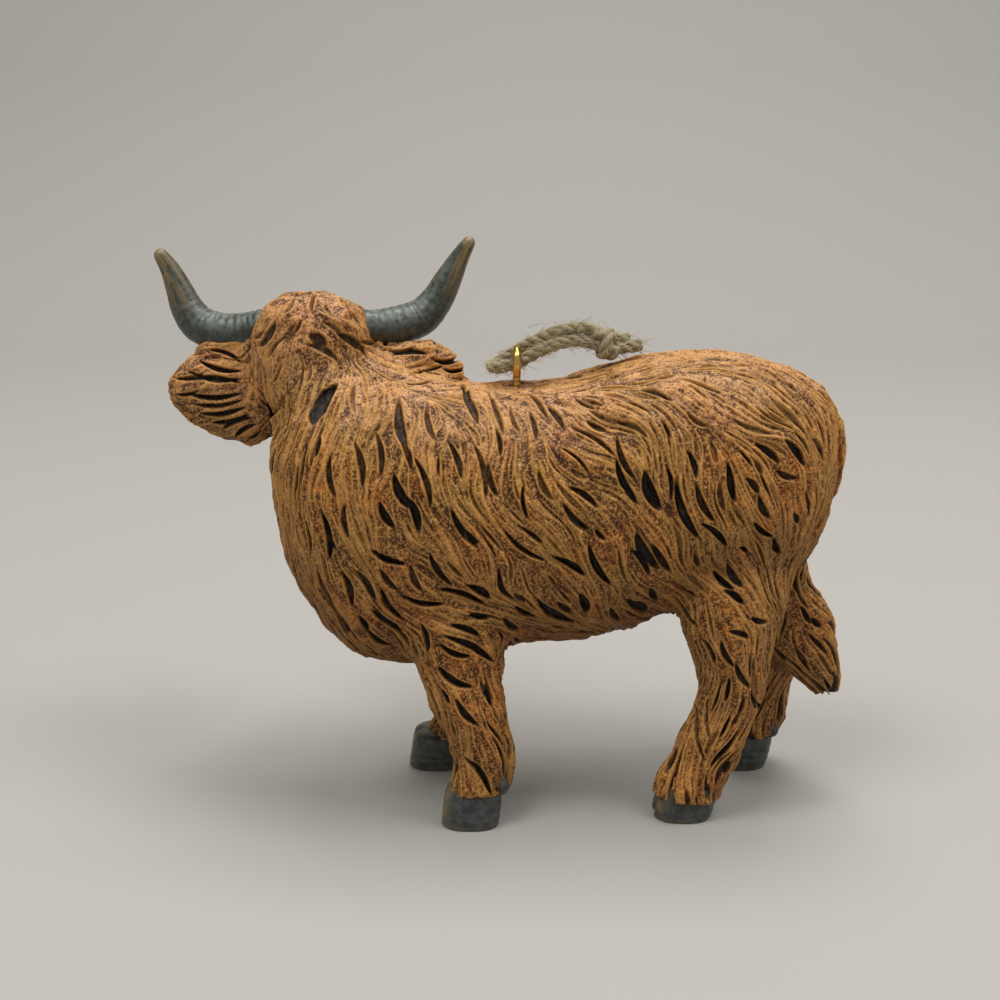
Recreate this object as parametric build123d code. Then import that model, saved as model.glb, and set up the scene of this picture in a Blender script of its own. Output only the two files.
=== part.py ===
"""A Highland cow hanging ornament: a painted resin casting with a brass screw eye and a knotted jute loop.

Units are millimetres. While it is modelled, X runs from the chest to the rump, Y = 0 is the middle of the
body, the left flank is towards -Y and Z = 0 is the ground. The head is turned square to the right, +Y.
At the end every solid is moved so that the origin is under the middle of the casting and its eye.
"""
import math
import os

from build123d import *

# Overall sizes of the casting
body_length = 84.8      # chest to rump, without the tail
body_height = 70.4      # ground to the top of the rump
body_width = 32.0       # over the flanks
chest_x = -34.4         # the front of the chest

# Legs and hooves
hoof_height = 5.6
hoof_length = 9.4
hoof_width = 8.6
hoof_cleft_width = 0.9
hoof_cleft_depth = 2.4
fore_leg_height = 46.0
hind_leg_height = 46.0
leg_length = 9.4        # fore and aft, at the fetlock
leg_width = 8.6
# Where each hoof stands: a share of the body's length from the chest, and its distance to the right
fore_stance = {"left": (chest_x + 0.361 * body_length, -11.5), "right": (chest_x + 0.29 * body_length, 9.4)}
hind_stance = {"left": (chest_x + 0.735 * body_length, -9.0), "right": (chest_x + 0.87 * body_length, 9.6)}
fore_lean = {"left": 0.0, "right": 5.0}
hind_lean = {"left": 0.0, "right": -10.0}

# Head, turned to the right and tilted down
head_length = 35.6      # nape to muzzle
head_width = 17.0
head_depth = 16.4
head_x = chest_x + 0.072 * body_length
nape_y = 1.5
nape_z = 70.4
head_tilt = 37.5        # degrees below level
poll_height = 19.0
tuft_depth = 15.0       # the poll's hair, along the head
nostril_radius = 1.0
nostril_spacing = 4.6
mouth_gap = 0.5
mouth_depth = 3.0
eye_radius = 1.5
eye_place = 0.47        # shares of the head's length, depth and width
eye_rise = 0.14
eye_out = 0.36
# More shares of the head's length (place) or depth (the others)
tuft_place = 0.1
tuft_lift = 0.031
nostril_rise = 0.071
mouth_drop = 0.111

# Neck between the shoulders and the head
neck_width = 27.0
neck_root_z = 50.0
neck_end_place = 0.143  # shares of the head's length and depth
neck_end_drop = 0.167

# Horns and ears
horn_thickness = 5.8
horn_span = 48.6        # tip to tip
horn_rise = 13.0        # from the root to the tip
horn_root_z = 72.4
horn_root_y = 6.4
ear_length = 16.4
ear_height = 13.4
ear_thickness = 5.2
left_ear_z = 61.9
right_ear_z = 64.4
ear_y = 6.0

# Tail
tail_length = 48.0
tail_width = 5.0        # across, near its root
tail_foot_z = 15.4

# Brass screw eye
eye_wire = 1.2          # wire diameter
eye_hole = 2.8          # inside diameter of the ring
eye_x = chest_x + 0.435 * body_length
shank_diameter = 1.0    # under the wire's, where the thread is cut
shank_length = 6.0
eye_seat_gap = 0.05     # the ring stands just off the hair

# Jute twine
twine_diameter = 1.8
knot_length = 4.0
knot_height = 5.2
knot_width = 4.6
high_end = 4.4          # the two cut ends behind the knot
low_end = 3.1
high_end_turn = 9.0     # degrees: how far each turns up behind the knot
low_end_turn = 20.0
strand_gap = 2.0        # between the strands' middles in the knot
seat_gap = 0.3          # between the knot and the back

cut_over = 1.0          # how far a cutting tool passes a face

# Straight sides round each form's sections
leg_sides = 16
hoof_sides = 20
head_sides = 20
fringe_sides = 14
neck_sides = 20
horn_sides = 12
ear_sides = 14
tail_sides = 12
wire_sides = 12
twine_sides = 12
knot_sides = 14

# Rings of points for each row of a share table
torso_steps = 2
leg_steps = 2
head_steps = 3
neck_steps = 3
horn_steps = 3
ear_steps = 3
tail_steps = 2
knot_steps = 2


def facet_face(points):
    """A flat face inside straight lines from point to point."""
    return Face(Wire.make_polygon(points))


def skin(rings):
    """A closed solid over rings of as many points each: flat triangles from ring to ring, and flat ends."""
    faces = [facet_face(rings[0]), facet_face(rings[-1])]
    for near, far in zip(rings, rings[1:]):
        for i in range(len(near)):
            j = (i + 1) % len(near)
            faces.append(facet_face([near[i], near[j], far[i]]))
            faces.append(facet_face([near[j], far[j], far[i]]))
    return Solid(Shell(faces))


def smooth(rings, steps):
    """The rings with more between them: each row of points along a cubic curve through its own points."""
    dense = []
    last = len(rings) - 1
    for i in range(last):
        quads = list(zip(rings[max(i - 1, 0)], rings[i], rings[i + 1], rings[min(i + 2, last)]))
        for step in range(steps):
            t = step / steps
            ring = []
            for a, b, c, d in quads:
                slope, bow, twist = c - a, a * 2 - b * 5 + c * 4 - d, b * 3 - a - c * 3 + d
                ring.append(b + (slope * t + bow * t ** 2 + twist * t ** 3) * 0.5)
            dense.append(ring)
    return dense + [rings[-1]]


def oval(origin, x_dir, z_dir, half_x, half_y, sides):
    """Points round an oval about origin, its first axis along x_dir and its normal along z_dir."""
    plane = Plane(origin=origin, x_dir=x_dir, z_dir=z_dir)
    points = []
    for i in range(sides):
        turn = 2 * math.pi * (i + 0.5) / sides
        points.append(plane.from_local_coords(Vector(half_x * math.cos(turn), half_y * math.sin(turn), 0)))
    return points


def biggest(shape):
    """The largest solid of a cut, which can leave crumbs."""
    return max(shape.solids(), key=lambda s: s.volume)


# Torso: a loft along the spine, flat sided, with a ridge at the top and a fringe of hair below.
# The section's right side as shares of its half width and height, from the top down.
outline_shares = [(0.0, 1.0), (0.27, 0.985), (0.52, 0.945), (0.76, 0.865), (0.93, 0.71), (1.0, 0.5),
                  (0.96, 0.28), (0.8, 0.11), (0.45, 0.02), (0.0, 0.0)]
# Each section: distance from the chest, top and bottom heights, half width, all as shares.
torso_shares = [
    (0.0, 0.795, 0.625, 0.25), (0.017, 0.852, 0.533, 0.5), (0.058, 0.909, 0.44, 0.72),
    (0.123, 0.938, 0.348, 0.862), (0.217, 0.944, 0.317, 0.95), (0.335, 0.936, 0.358, 1.0),
    (0.453, 0.936, 0.389, 0.988), (0.559, 0.953, 0.395, 0.962), (0.665, 0.991, 0.429, 0.938),
    (0.771, 0.997, 0.483, 0.912), (0.871, 0.979, 0.509, 0.825), (0.942, 0.945, 0.547, 0.638),
    (0.983, 0.902, 0.618, 0.406), (1.0, 0.852, 0.703, 0.188)]


def torso_solid():
    right = outline_shares
    around = right + [(-side, up) for side, up in right[-2:0:-1]]
    rings = []
    for along, top, bottom, half in torso_shares:
        x = chest_x + along * body_length
        points = []
        for side, up in around:
            z = (bottom + up * (top - bottom)) * body_height
            points.append(Vector(x, side * half * body_width / 2, z))
        rings.append(points)
    return skin(smooth(rings, torso_steps))


# Legs: lofts of level ellipses. Each row: height, forward offset, offset inwards, half length and half
# width, as shares of the leg's height, length and width.
fore_leg_shares = [(0.0, 0.0, 0.0, 0.5, 0.5), (0.1, 0.1, 0.0, 0.48, 0.48), (0.2, 0.05, 0.0, 0.49, 0.49),
                   (0.32, -0.1, 0.02, 0.56, 0.52), (0.45, -0.22, 0.12, 0.64, 0.56),
                   (0.6, -0.31, 0.22, 0.76, 0.62), (0.8, -0.34, 0.4, 0.78, 0.66), (1.0, -0.34, 0.58, 0.6, 0.5)]
hind_leg_shares = [(0.0, 0.14, 0.0, 0.52, 0.5), (0.1, 0.38, -0.02, 0.54, 0.5), (0.19, 0.52, -0.02, 0.53, 0.5),
                   (0.33, 0.76, 0.01, 0.56, 0.55), (0.47, 0.84, 0.06, 0.68, 0.64), (0.6, 0.79, 0.13, 0.82, 0.7),
                   (0.78, 0.78, 0.27, 0.88, 0.68), (1.0, 0.82, 0.5, 0.56, 0.42)]


def leg_solid(stance, lean, shares, height):
    """A leg from the top of its hoof to its root inside the torso."""
    x, y = stance
    inward = -math.copysign(1, y)
    rise = height - hoof_height
    rings = []
    for up, forward, inside, half_l, half_w in shares:
        centre = (x + forward * leg_length + up * lean, y + inward * inside * leg_width,
                  hoof_height + up * rise)
        rings.append(oval(centre, (1, 0, 0), (0, 0, 1), half_l * leg_length, half_w * leg_width, leg_sides))
    return skin(smooth(rings, leg_steps))


# Hooves: each row is a height, a length and a width as shares of the hoof's own sizes.
hoof_shares = [(0.0, 0.94, 0.95), (0.14, 1.0, 1.0), (0.6, 1.0, 1.0), (1.0, 0.94, 0.96)]


def hoof_solid(stance, seat_offset):
    """A hoof with a cleft toe, its top under the leg's end and its sole on the ground."""
    x, y = stance
    rings = []
    for up, long, wide in hoof_shares:
        centre = (x + up * seat_offset, y, up * hoof_height)
        rings.append(oval(centre, (1, 0, 0), (0, 0, 1), long * hoof_length / 2, wide * hoof_width / 2,
                          hoof_sides))
    hoof = skin(rings)
    toe = Pos(x - hoof_length / 2, y, hoof_height / 2) * Box(
        2 * hoof_cleft_depth, hoof_cleft_width, hoof_height + 2 * cut_over)
    return biggest(hoof - toe)


# Head: a loft of ellipses along the line from the nape to the muzzle, with the tuft on the poll.
# Each row: distance from the nape, half width and half depth, as shares.
head_shares = [(0.0, 0.22, 0.22), (0.04, 0.38, 0.36), (0.14, 0.49, 0.48), (0.28, 0.49, 0.5),
               (0.45, 0.43, 0.45), (0.62, 0.33, 0.35), (0.76, 0.305, 0.305), (0.88, 0.34, 0.3),
               (0.96, 0.3, 0.25), (1.0, 0.18, 0.14)]
# The tuft on the poll. Each row: height over its middle and spread, as shares.
tuft_shares = [(-1.0, 0.14), (-0.84, 0.5), (-0.4, 0.88), (0.1, 1.0), (0.5, 0.95), (0.78, 0.76),
               (0.93, 0.5), (1.0, 0.22)]
# The fringe over the brow. Each row: distance along the head, height over its middle line, half width and
# half thickness, as shares of the head's length, depth, width and depth.
fringe_shares = [(0.1, 0.36, 0.34, 0.16), (0.26, 0.46, 0.41, 0.19), (0.42, 0.42, 0.36, 0.17),
                 (0.56, 0.37, 0.22, 0.12), (0.64, 0.33, 0.07, 0.05)]


def head_axes():
    tilt = math.radians(head_tilt)
    along = Vector(0, math.cos(tilt), -math.sin(tilt))
    up = Vector(0, math.sin(tilt), math.cos(tilt))
    return Vector(head_x, nape_y, nape_z), along, up


def head_solid():
    nape, along, up = head_axes()
    rings = []
    for distance, half_w, half_d in head_shares:
        rings.append(oval(nape + along * (distance * head_length), (1, 0, 0), along,
                               half_w * head_width, half_d * head_depth, head_sides))
    skull = skin(smooth(rings, head_steps))
    tuft_centre = nape + along * (tuft_place * head_length) + Vector(0, 0, tuft_lift * head_depth)
    rings = []
    for height, spread in tuft_shares:
        rings.append(oval(tuft_centre + Vector(0, 0, height * poll_height / 2), (1, 0, 0), (0, 0, 1),
                               spread * head_width / 2, spread * tuft_depth / 2, head_sides))
    tuft = skin(rings)
    rings = []
    for distance, height, half_w, half_t in fringe_shares:
        centre = nape + along * (distance * head_length) + up * (height * head_depth)
        rings.append(oval(centre, (1, 0, 0), along, half_w * head_width, half_t * head_depth, fringe_sides))
    fringe = skin(smooth(rings, head_steps))
    head = skull + tuft + fringe
    for side in (-1, 1):
        eye = nape + along * (eye_place * head_length) + up * (eye_rise * head_depth)
        eye += Vector(side * eye_out * head_width, 0, 0)
        head += Pos(*eye) * Sphere(eye_radius)
    muzzle = nape + along * head_length
    for side in (-1, 1):
        hole = muzzle + Vector(side * nostril_spacing / 2, 0, 0) + up * (nostril_rise * head_depth)
        head -= Pos(*hole) * Sphere(nostril_radius)
    mouth = muzzle - up * (mouth_drop * head_depth)
    slot = Plane(origin=mouth, x_dir=(1, 0, 0), z_dir=up) * Box(head_width, 2 * mouth_depth, mouth_gap)
    return biggest(head - slot)


# Neck: ellipses from the shoulders to the nape. Each row: distance, half width and half depth as shares.
neck_start = (chest_x + 0.276 * body_length, 0.0, neck_root_z)
neck_shares = [(0.0, 0.52, 0.5), (0.35, 0.48, 0.47), (0.7, 0.4, 0.42), (1.0, 0.31, 0.32)]


def neck_solid():
    nape, along, up = head_axes()
    start = Vector(*neck_start)
    end = nape + along * (neck_end_place * head_length) - up * (neck_end_drop * head_depth)
    line = end - start
    rings = []
    for distance, half_w, half_d in neck_shares:
        rings.append(oval(start + line * distance, (0, 1, 0), line.normalized(),
                               half_w * neck_width, half_d * neck_width, neck_sides))
    return skin(smooth(rings, neck_steps))


# Horns: out sideways, then up. Each row: distance out from the head, rise, forward sweep and radius, as
# shares of half the span, the rise, the rise again and the thickness.
horn_shares = {
    "left": [(0.2, 0.1, 0.0, 0.4), (0.383, 0.012, 0.06, 0.42), (0.503, -0.04, 0.12, 0.45),
             (0.601, -0.045, 0.17, 0.5), (0.72, 0.0, 0.22, 0.5), (0.804, 0.195, 0.25, 0.43),
             (0.853, 0.43, 0.26, 0.35), (0.907, 0.675, 0.26, 0.24), (0.975, 0.88, 0.22, 0.12)],
    "right": [(0.2, 0.05, 0.0, 0.42), (0.392, 0.012, 0.05, 0.44), (0.532, 0.038, 0.14, 0.49),
              (0.673, 0.105, 0.22, 0.5), (0.765, 0.313, 0.25, 0.42), (0.835, 0.545, 0.26, 0.36),
              (0.915, 0.816, 0.25, 0.24), (0.99, 1.022, 0.22, 0.12)]}


def horn_solid(side):
    """A horn as a loft of rounds square to its own curve."""
    sign = -1 if side == "left" else 1
    points = []
    for out, rise, sweep, _ in horn_shares[side]:
        points.append(Vector(head_x + sign * out * horn_span / 2, horn_root_y + sweep * horn_rise,
                             horn_root_z + rise * horn_rise))
    last = len(points) - 1
    rings = []
    for i, point in enumerate(points):
        along = (points[min(i + 1, last)] - points[max(i - 1, 0)]).normalized()
        radius = horn_shares[side][i][3] * horn_thickness
        rings.append(oval(point, (0, 1, 0), along, radius, radius, horn_sides))
    return skin(smooth(rings, horn_steps))


# Ears: leaf shapes beside the head. Each row: distance out, height over the ear's middle, half height and
# half thickness, as shares of the ear's length, height, height and thickness.
ear_shares = [(0.0, -0.03, 0.4, 0.36), (0.14, -0.067, 0.485, 0.48), (0.33, -0.03, 0.47, 0.5),
              (0.51, 0.007, 0.448, 0.5), (0.73, 0.08, 0.366, 0.46), (0.87, 0.097, 0.216, 0.34),
              (0.94, 0.09, 0.09, 0.18)]
ear_root_share = 0.1    # of the ear's length, inside the head's side


def ear_solid(side):
    sign = -1 if side == "left" else 1
    middle_z = left_ear_z if side == "left" else right_ear_z
    root_x = head_x + sign * (head_width / 2 - ear_root_share * ear_length)
    rings = []
    for out, height, half_h, half_t in ear_shares:
        centre = (root_x + sign * out * ear_length, ear_y, middle_z + height * ear_height)
        rings.append(oval(centre, (0, 0, 1), (sign, 0, 0), half_h * ear_height, half_t * ear_thickness,
                          ear_sides))
    return skin(smooth(rings, ear_steps))


# Tail: level ellipses from the foot of the switch up to the dock. Each row: height, distance behind the
# chest, offset to the right, half length and half width, as shares.
tail_shares = [(0.0, 1.015, 0.3, 0.34, 0.2), (0.06, 0.998, 0.32, 0.74, 0.42), (0.15, 0.973, 0.34, 1.0, 0.58),
               (0.27, 0.963, 0.34, 0.92, 0.62), (0.37, 0.946, 0.26, 0.56, 0.58), (0.48, 0.946, 0.12, 0.4, 0.52),
               (0.6, 0.966, 0.04, 0.38, 0.5), (0.74, 1.0, 0.0, 0.36, 0.48), (0.88, 1.002, 0.0, 0.36, 0.46),
               (0.97, 0.985, 0.0, 0.32, 0.4), (1.0, 0.975, 0.0, 0.14, 0.2)]


def tail_solid():
    rings = []
    for up, along, right, half_l, half_w in tail_shares:
        centre = (chest_x + along * body_length, right * tail_width, tail_foot_z + up * tail_length)
        rings.append(oval(centre, (1, 0, 0), (0, 0, 1), half_l * tail_width, half_w * tail_width, tail_sides))
    return skin(smooth(rings, tail_steps))


# Screw eye: a closed ring of round wire on a threaded shank, its plane across the cow. The shank's thread
# is cut by the resin it is driven into, so the hole has the shank's own size.
def back_height_at(x):
    """The height of the back's ridge at x, between the two torso sections beside it."""
    share = (x - chest_x) / body_length
    for (a, top_a, *_), (b, top_b, *_) in zip(torso_shares, torso_shares[1:]):
        if a <= share <= b:
            return body_height * (top_a + (top_b - top_a) * (share - a) / (b - a))
    return body_height


ring_radius = (eye_hole + eye_wire) / 2
back_under_eye = back_height_at(eye_x)
ring_z = back_under_eye + eye_seat_gap + ring_radius + eye_wire / 2
pivot_z = ring_z + ring_radius      # the middle of the ring's top wire, which the twine hangs from


def shank_tool(below):
    """The shank's own cylinder, from the ring's wire down into the back, with extra length below."""
    length = ring_z - ring_radius - (back_under_eye - shank_length) + below
    middle = ring_z - ring_radius - length / 2
    return Pos(eye_x, 0, middle) * Cylinder(shank_diameter / 2, length)


def screw_eye_solid():
    wire = oval((eye_x, ring_radius, ring_z), (1, 0, 0), (0, 0, 1), eye_wire / 2, eye_wire / 2, wire_sides)
    ring = revolve(facet_face(wire), Axis((eye_x, 0, ring_z), (1, 0, 0)))
    return biggest(ring + shank_tool(0))


# Twine: one length, from a cut end through the knot, forward over the ring, down through it and back
# through the knot to the other cut end. Its bend round the ring's top wire clears that by ring_play.
ring_play = 0.5
bend_radius = eye_wire / 2 + ring_play + twine_diameter / 2
pull_angle = 22.0       # degrees: the way that the two strands leave the ring
knot_lead = 1.6         # straight strand ahead of the knot
knot_trail = 0.6        # and behind it
strand_play = 0.06      # the knot's hole is this much wider all round, where a strand starts to bend in it
# Offsets from the ring's top wire, rearward and up
twine_run = [(6.6, 2.85), (3.8, 2.95), (1.0, 2.35)]        # the upper strand, from the knot to the ring
twine_return = [(2.6, -1.0), (5.9, 0.1)]       # the lower one, back again


def twine_route():
    """Corner points of the twine in the plane Y = 0: the upper strand, the bend of three corners, the lower."""
    angle = math.radians(pull_angle)
    corner = bend_radius / math.cos(math.radians(30))
    bend = []
    for turn in (120, 180, 240):
        way = angle + math.radians(turn)
        bend.append((corner * math.cos(way), corner * math.sin(way)))
    inner = [Vector(eye_x + x, 0, pivot_z + z) for x, z in twine_run + bend + twine_return]
    high, low = knot_strands()
    return high + inner + low[::-1]


def fillet_radii(points):
    """Each corner's radius: 0.45 of the shorter run beside it, over the tangent of half the turn."""
    radii = []
    for a, b, c in zip(points, points[1:], points[2:]):
        turn = math.radians((b - a).get_angle(c - b))
        radii.append(0.45 * min((b - a).length, (c - b).length) / math.tan(turn / 2))
    return radii


# The tube's straight sides enclose the round section's own area
facet_turn = 2 * math.pi / twine_sides
facet_radius = twine_diameter / 2 * math.sqrt(facet_turn / math.sin(facet_turn))


def twine_section(origin, way, play):
    """The twine's section about origin, square to a way in the plane Y = 0, with play all round it."""
    radius = facet_radius + play
    return facet_face(oval(origin, (0, 1, 0), way.normalized(), radius, radius, twine_sides))


def twine_tube(points):
    """A tube along straight runs joined by tangent arcs, with its length."""
    radii = fillet_radii(points)
    path = FilletPolyline(*points, radius=radii)
    tube = sweep(twine_section(points[0], points[1] - points[0], 0), path=path)
    return tube, path.length, radii


# Knot: a rounded lump with a waist between its two turns, drooping rearward. The two strands butt against
# its flat front, and the two cut ends leave its back.
knot_x = 13.2           # from the ring's top wire
knot_droop = 6.0        # degrees
knot_shares = [(-1.0, 0.62, 0.84), (-0.6, 0.94, 1.0), (0.0, 0.84, 0.88), (0.5, 1.0, 0.98), (0.85, 0.8, 0.9),
               (1.0, 0.6, 0.8)]


def knot_frame():
    """The knot's middle, and the directions rearward along it and square to it, upwards."""
    droop = math.radians(knot_droop)
    height = back_height_at(eye_x + knot_x + knot_length / 2) + seat_gap + knot_height / 2
    middle = Vector(eye_x + knot_x, 0, height)
    return middle, Vector(math.cos(droop), 0, -math.sin(droop)), Vector(math.sin(droop), 0, math.cos(droop))


def knot_strands():
    """Both strands' points by the knot: the cut end, then behind the knot, then ahead of it."""
    middle, along, up = knot_frame()
    strands = []
    for side, reach, turn in ((1, high_end, high_end_turn), (-1, low_end, low_end_turn)):
        centre = middle + up * (side * strand_gap / 2)
        behind = centre + along * (knot_length / 2 + knot_trail)
        lift = math.radians(turn)
        end = behind + (along * math.cos(lift) + up * math.sin(lift)) * reach
        strands.append([end, behind, centre - along * (knot_length / 2 + knot_lead)])
    return strands


def knot_solid():
    """The knot's lump, with the twine's two strands let through it."""
    middle, along, _ = knot_frame()
    rings = []
    for place, wide, high in knot_shares:
        rings.append(oval(middle + along * (place * knot_length / 2), (0, 1, 0), along,
                          wide * knot_width / 2, high * knot_height / 2, knot_sides))
    knot = skin(smooth(rings, knot_steps))
    for _, behind, ahead in knot_strands():
        knot -= extrude(twine_section(behind, ahead - behind, strand_play), (ahead - behind).length)
    return biggest(knot)


torso = torso_solid()
neck = biggest(neck_solid() - torso)
head = biggest(head_solid() - torso - neck)
torso = biggest(torso - shank_tool(cut_over))
parts = {"torso": torso, "neck": neck, "head": head}
for side in ("left", "right"):
    horn = biggest(horn_solid(side) - head - neck)
    parts["horn_" + side] = horn
    parts["ear_" + side] = biggest(ear_solid(side) - head - neck - torso - horn)
    fore = leg_solid(fore_stance[side], fore_lean[side], fore_leg_shares, fore_leg_height)
    parts["fore_leg_" + side] = biggest(fore - torso)
    hind = leg_solid(hind_stance[side], hind_lean[side], hind_leg_shares, hind_leg_height)
    parts["hind_leg_" + side] = biggest(hind - torso)
    parts["fore_hoof_" + side] = hoof_solid(fore_stance[side], fore_leg_shares[0][1] * leg_length)
    parts["hind_hoof_" + side] = hoof_solid(hind_stance[side], hind_leg_shares[0][1] * leg_length)
parts["tail"] = biggest(tail_solid() - torso - parts["hind_leg_left"] - parts["hind_leg_right"])
parts["screw_eye"] = screw_eye_solid()

knot = knot_solid()
tube, tube_length, bend_radii = twine_tube(twine_route())
cord_parts = {"twine_loop": tube, "twine_knot": knot}

# The origin goes under the middle of the casting and its eye
boxes = [solid.bounding_box() for solid in parts.values()]
middle_x = (min(box.min.X for box in boxes) + max(box.max.X for box in boxes)) / 2
middle_y = (min(box.min.Y for box in boxes) + max(box.max.Y for box in boxes)) / 2
shift = Pos(-middle_x, -middle_y, 0)
parts.update(cord_parts)

os.makedirs("parts", exist_ok=True)
for name, solid in parts.items():
    export_step(shift * solid, "parts/" + name + ".step")

pivot = shift * Pos(eye_x, 0, pivot_z)
print("twine pivot", [round(v, 3) for v in pivot.position])
section_area = math.pi * twine_diameter ** 2 / 4
print("twine length %.2f, volume over section %.2f" % (tube_length, tube.volume / section_area))
print("twine radii", [round(r, 2) for r in bend_radii])
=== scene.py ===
"""A Highland cow hanging ornament: a painted resin casting, a brass screw eye and a knotted jute loop.

Shapes are worked out in millimetres, with X from the chest to the rump, Y = 0 the middle of the body, the
left flank towards -Y and Z = 0 the ground, and go to the row frame when they become meshes.
"""
import math
import bpy
import numpy as np
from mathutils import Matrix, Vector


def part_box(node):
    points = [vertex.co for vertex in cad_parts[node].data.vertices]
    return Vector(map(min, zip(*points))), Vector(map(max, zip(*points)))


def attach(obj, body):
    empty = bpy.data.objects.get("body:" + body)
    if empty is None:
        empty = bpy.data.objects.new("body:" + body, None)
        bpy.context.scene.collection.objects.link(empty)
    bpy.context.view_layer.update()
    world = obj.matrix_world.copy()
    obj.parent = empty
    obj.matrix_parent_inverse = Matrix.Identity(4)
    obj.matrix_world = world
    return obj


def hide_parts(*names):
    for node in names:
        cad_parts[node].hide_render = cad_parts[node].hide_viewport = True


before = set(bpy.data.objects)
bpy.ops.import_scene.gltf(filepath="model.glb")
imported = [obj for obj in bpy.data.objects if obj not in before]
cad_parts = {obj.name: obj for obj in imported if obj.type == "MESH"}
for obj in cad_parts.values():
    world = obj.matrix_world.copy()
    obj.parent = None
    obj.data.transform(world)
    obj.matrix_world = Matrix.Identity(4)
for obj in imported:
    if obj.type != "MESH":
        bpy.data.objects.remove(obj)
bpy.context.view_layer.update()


# The coat's main forms. The real ornament is one casting in polyester resin, carved as a long shaggy coat
# and cast in a rubber mould. Each form is a tube of ovals along a straight line, and where forms meet, the
# hair runs on from one to the next.
chest_x = -34.4
torso_low, torso_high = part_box("torso")
row_shift = np.array([torso_low[0] * 1000 - chest_x, (torso_low[1] + torso_high[1]) * 500, 0.0])


def smooth_rows(rows, count):
    """Rows read off a cubic through the given ones: the slope at a row is that between its neighbours."""
    rows = np.array(rows, float)
    place = rows[:, 0]
    slope = np.gradient(rows, place, axis=0)
    at = np.linspace(place[0], place[-1], count)
    k = np.clip(np.searchsorted(place, at, side="right") - 1, 0, len(place) - 2)
    gap = (place[k + 1] - place[k])[:, None]
    t = (at - place[k])[:, None] / gap
    near = rows[k] * (2 * t ** 3 - 3 * t ** 2 + 1) + slope[k] * gap * (t ** 3 - 2 * t ** 2 + t)
    far = rows[k + 1] * (3 * t ** 2 - 2 * t ** 3) + slope[k + 1] * gap * (t ** 3 - t ** 2)
    return near + far


def unit(vectors):
    """Vectors brought to length 1 along their last axis."""
    return vectors / np.maximum(np.linalg.norm(vectors, axis=-1, keepdims=True), 1e-9)


def make_form(origin, along, side, rows, power=2.0):
    """A tube of ovals. Rows: distance along, side and up offsets, half width, half height above and below."""
    along = np.array(along, float) / np.linalg.norm(along)
    side = np.array(side, float)
    side = side - along * (side @ along)
    side = side / np.linalg.norm(side)
    table = smooth_rows(rows, 240)
    thinnest = 0.05
    table[:, 3:] = np.maximum(table[:, 3:], thinnest)
    return {"origin": np.array(origin, float), "along": along, "side": side, "up": np.cross(along, side),
            "table": table, "power": power}


def oval_coordinates(points, form):
    """Each point's place along the form, and its offsets and half sizes there."""
    rel = points - form["origin"]
    place = form["table"][:, 0]
    raw = rel @ form["along"]
    s = np.clip(raw, place[0], place[-1])
    middle_u, middle_v, half_u, above, below = (np.interp(s, place, form["table"][:, i]) for i in range(1, 6))
    du = rel @ form["side"] - middle_u
    dv = rel @ form["up"] - middle_v
    return raw, s, du, dv, half_u, np.where(dv > 0, above, below)


def form_distance(points, form):
    """Radial distance from the oval: r - r / g, with g = (|u / a|^n + |v / b|^n)^(1 / n), and round past the ends."""
    raw, s, du, dv, half_u, half_v = oval_coordinates(points, form)
    n = form["power"]
    g = (np.abs(du / half_u) ** n + np.abs(dv / half_v) ** n) ** (1 / n)
    r = np.hypot(du, dv)
    gap = r - r / np.maximum(g, 1e-4)
    over = raw - s
    return np.where(over == 0, gap, np.hypot(np.maximum(gap, 0), over))


# Torso rows: distance from the chest, the flank's middle height, half width and the reach above and below it
torso_rows = [(2.6, 50.6, 4.0, 6.0, 5.2), (3.6, 50.4, 8.0, 9.8, 10.2), (5.9, 49.2, 11.5, 14.9, 15.6),
              (10.6, 47.0, 13.8, 18.6, 21.3), (18.4, 46.5, 15.2, 19.3, 24.2), (28.4, 46.0, 16.0, 18.9, 21.3),
              (38.4, 46.0, 15.8, 18.9, 20.1), (47.4, 47.0, 15.4, 19.6, 20.5), (56.4, 49.5, 15.0, 19.8, 20.4),
              (65.4, 51.0, 14.6, 18.6, 17.4), (73.9, 51.5, 13.2, 17.2, 15.7), (79.9, 52.0, 10.2, 14.3, 13.5),
              (83.0, 53.0, 6.5, 10.4, 9.5), (84.3, 54.5, 3.0, 5.5, 5.0)]
forms = {"torso": make_form((chest_x, 0, 0), (1, 0, 0), (0, 1, 0),
                            [(x, 0, z, half, above, below) for x, z, half, above, below in torso_rows], power=2.35)}
# The brisket, upright at the front of the chest. Rows: height from its foot, half length and half width
brisket_rows = [(0.0, 0.4, 0.4), (1.5, 1.6, 2.2), (4.0, 3.2, 4.0), (8.0, 5.5, 6.0), (12.0, 7.3, 7.6),
                (18.0, 8.6, 8.8), (24.0, 9.2, 9.2), (30.0, 9.1, 9.0), (33.0, 7.5, 7.5), (36.0, 4.0, 4.0),
                (37.0, 0.3, 0.3)]
forms["brisket"] = make_form((-24.5, 0, 26.0), (0, 0, 1), (1, 0, 0),
                             [(up, 0, 0, long, wide, wide) for up, long, wide in brisket_rows], power=3.2)

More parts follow.
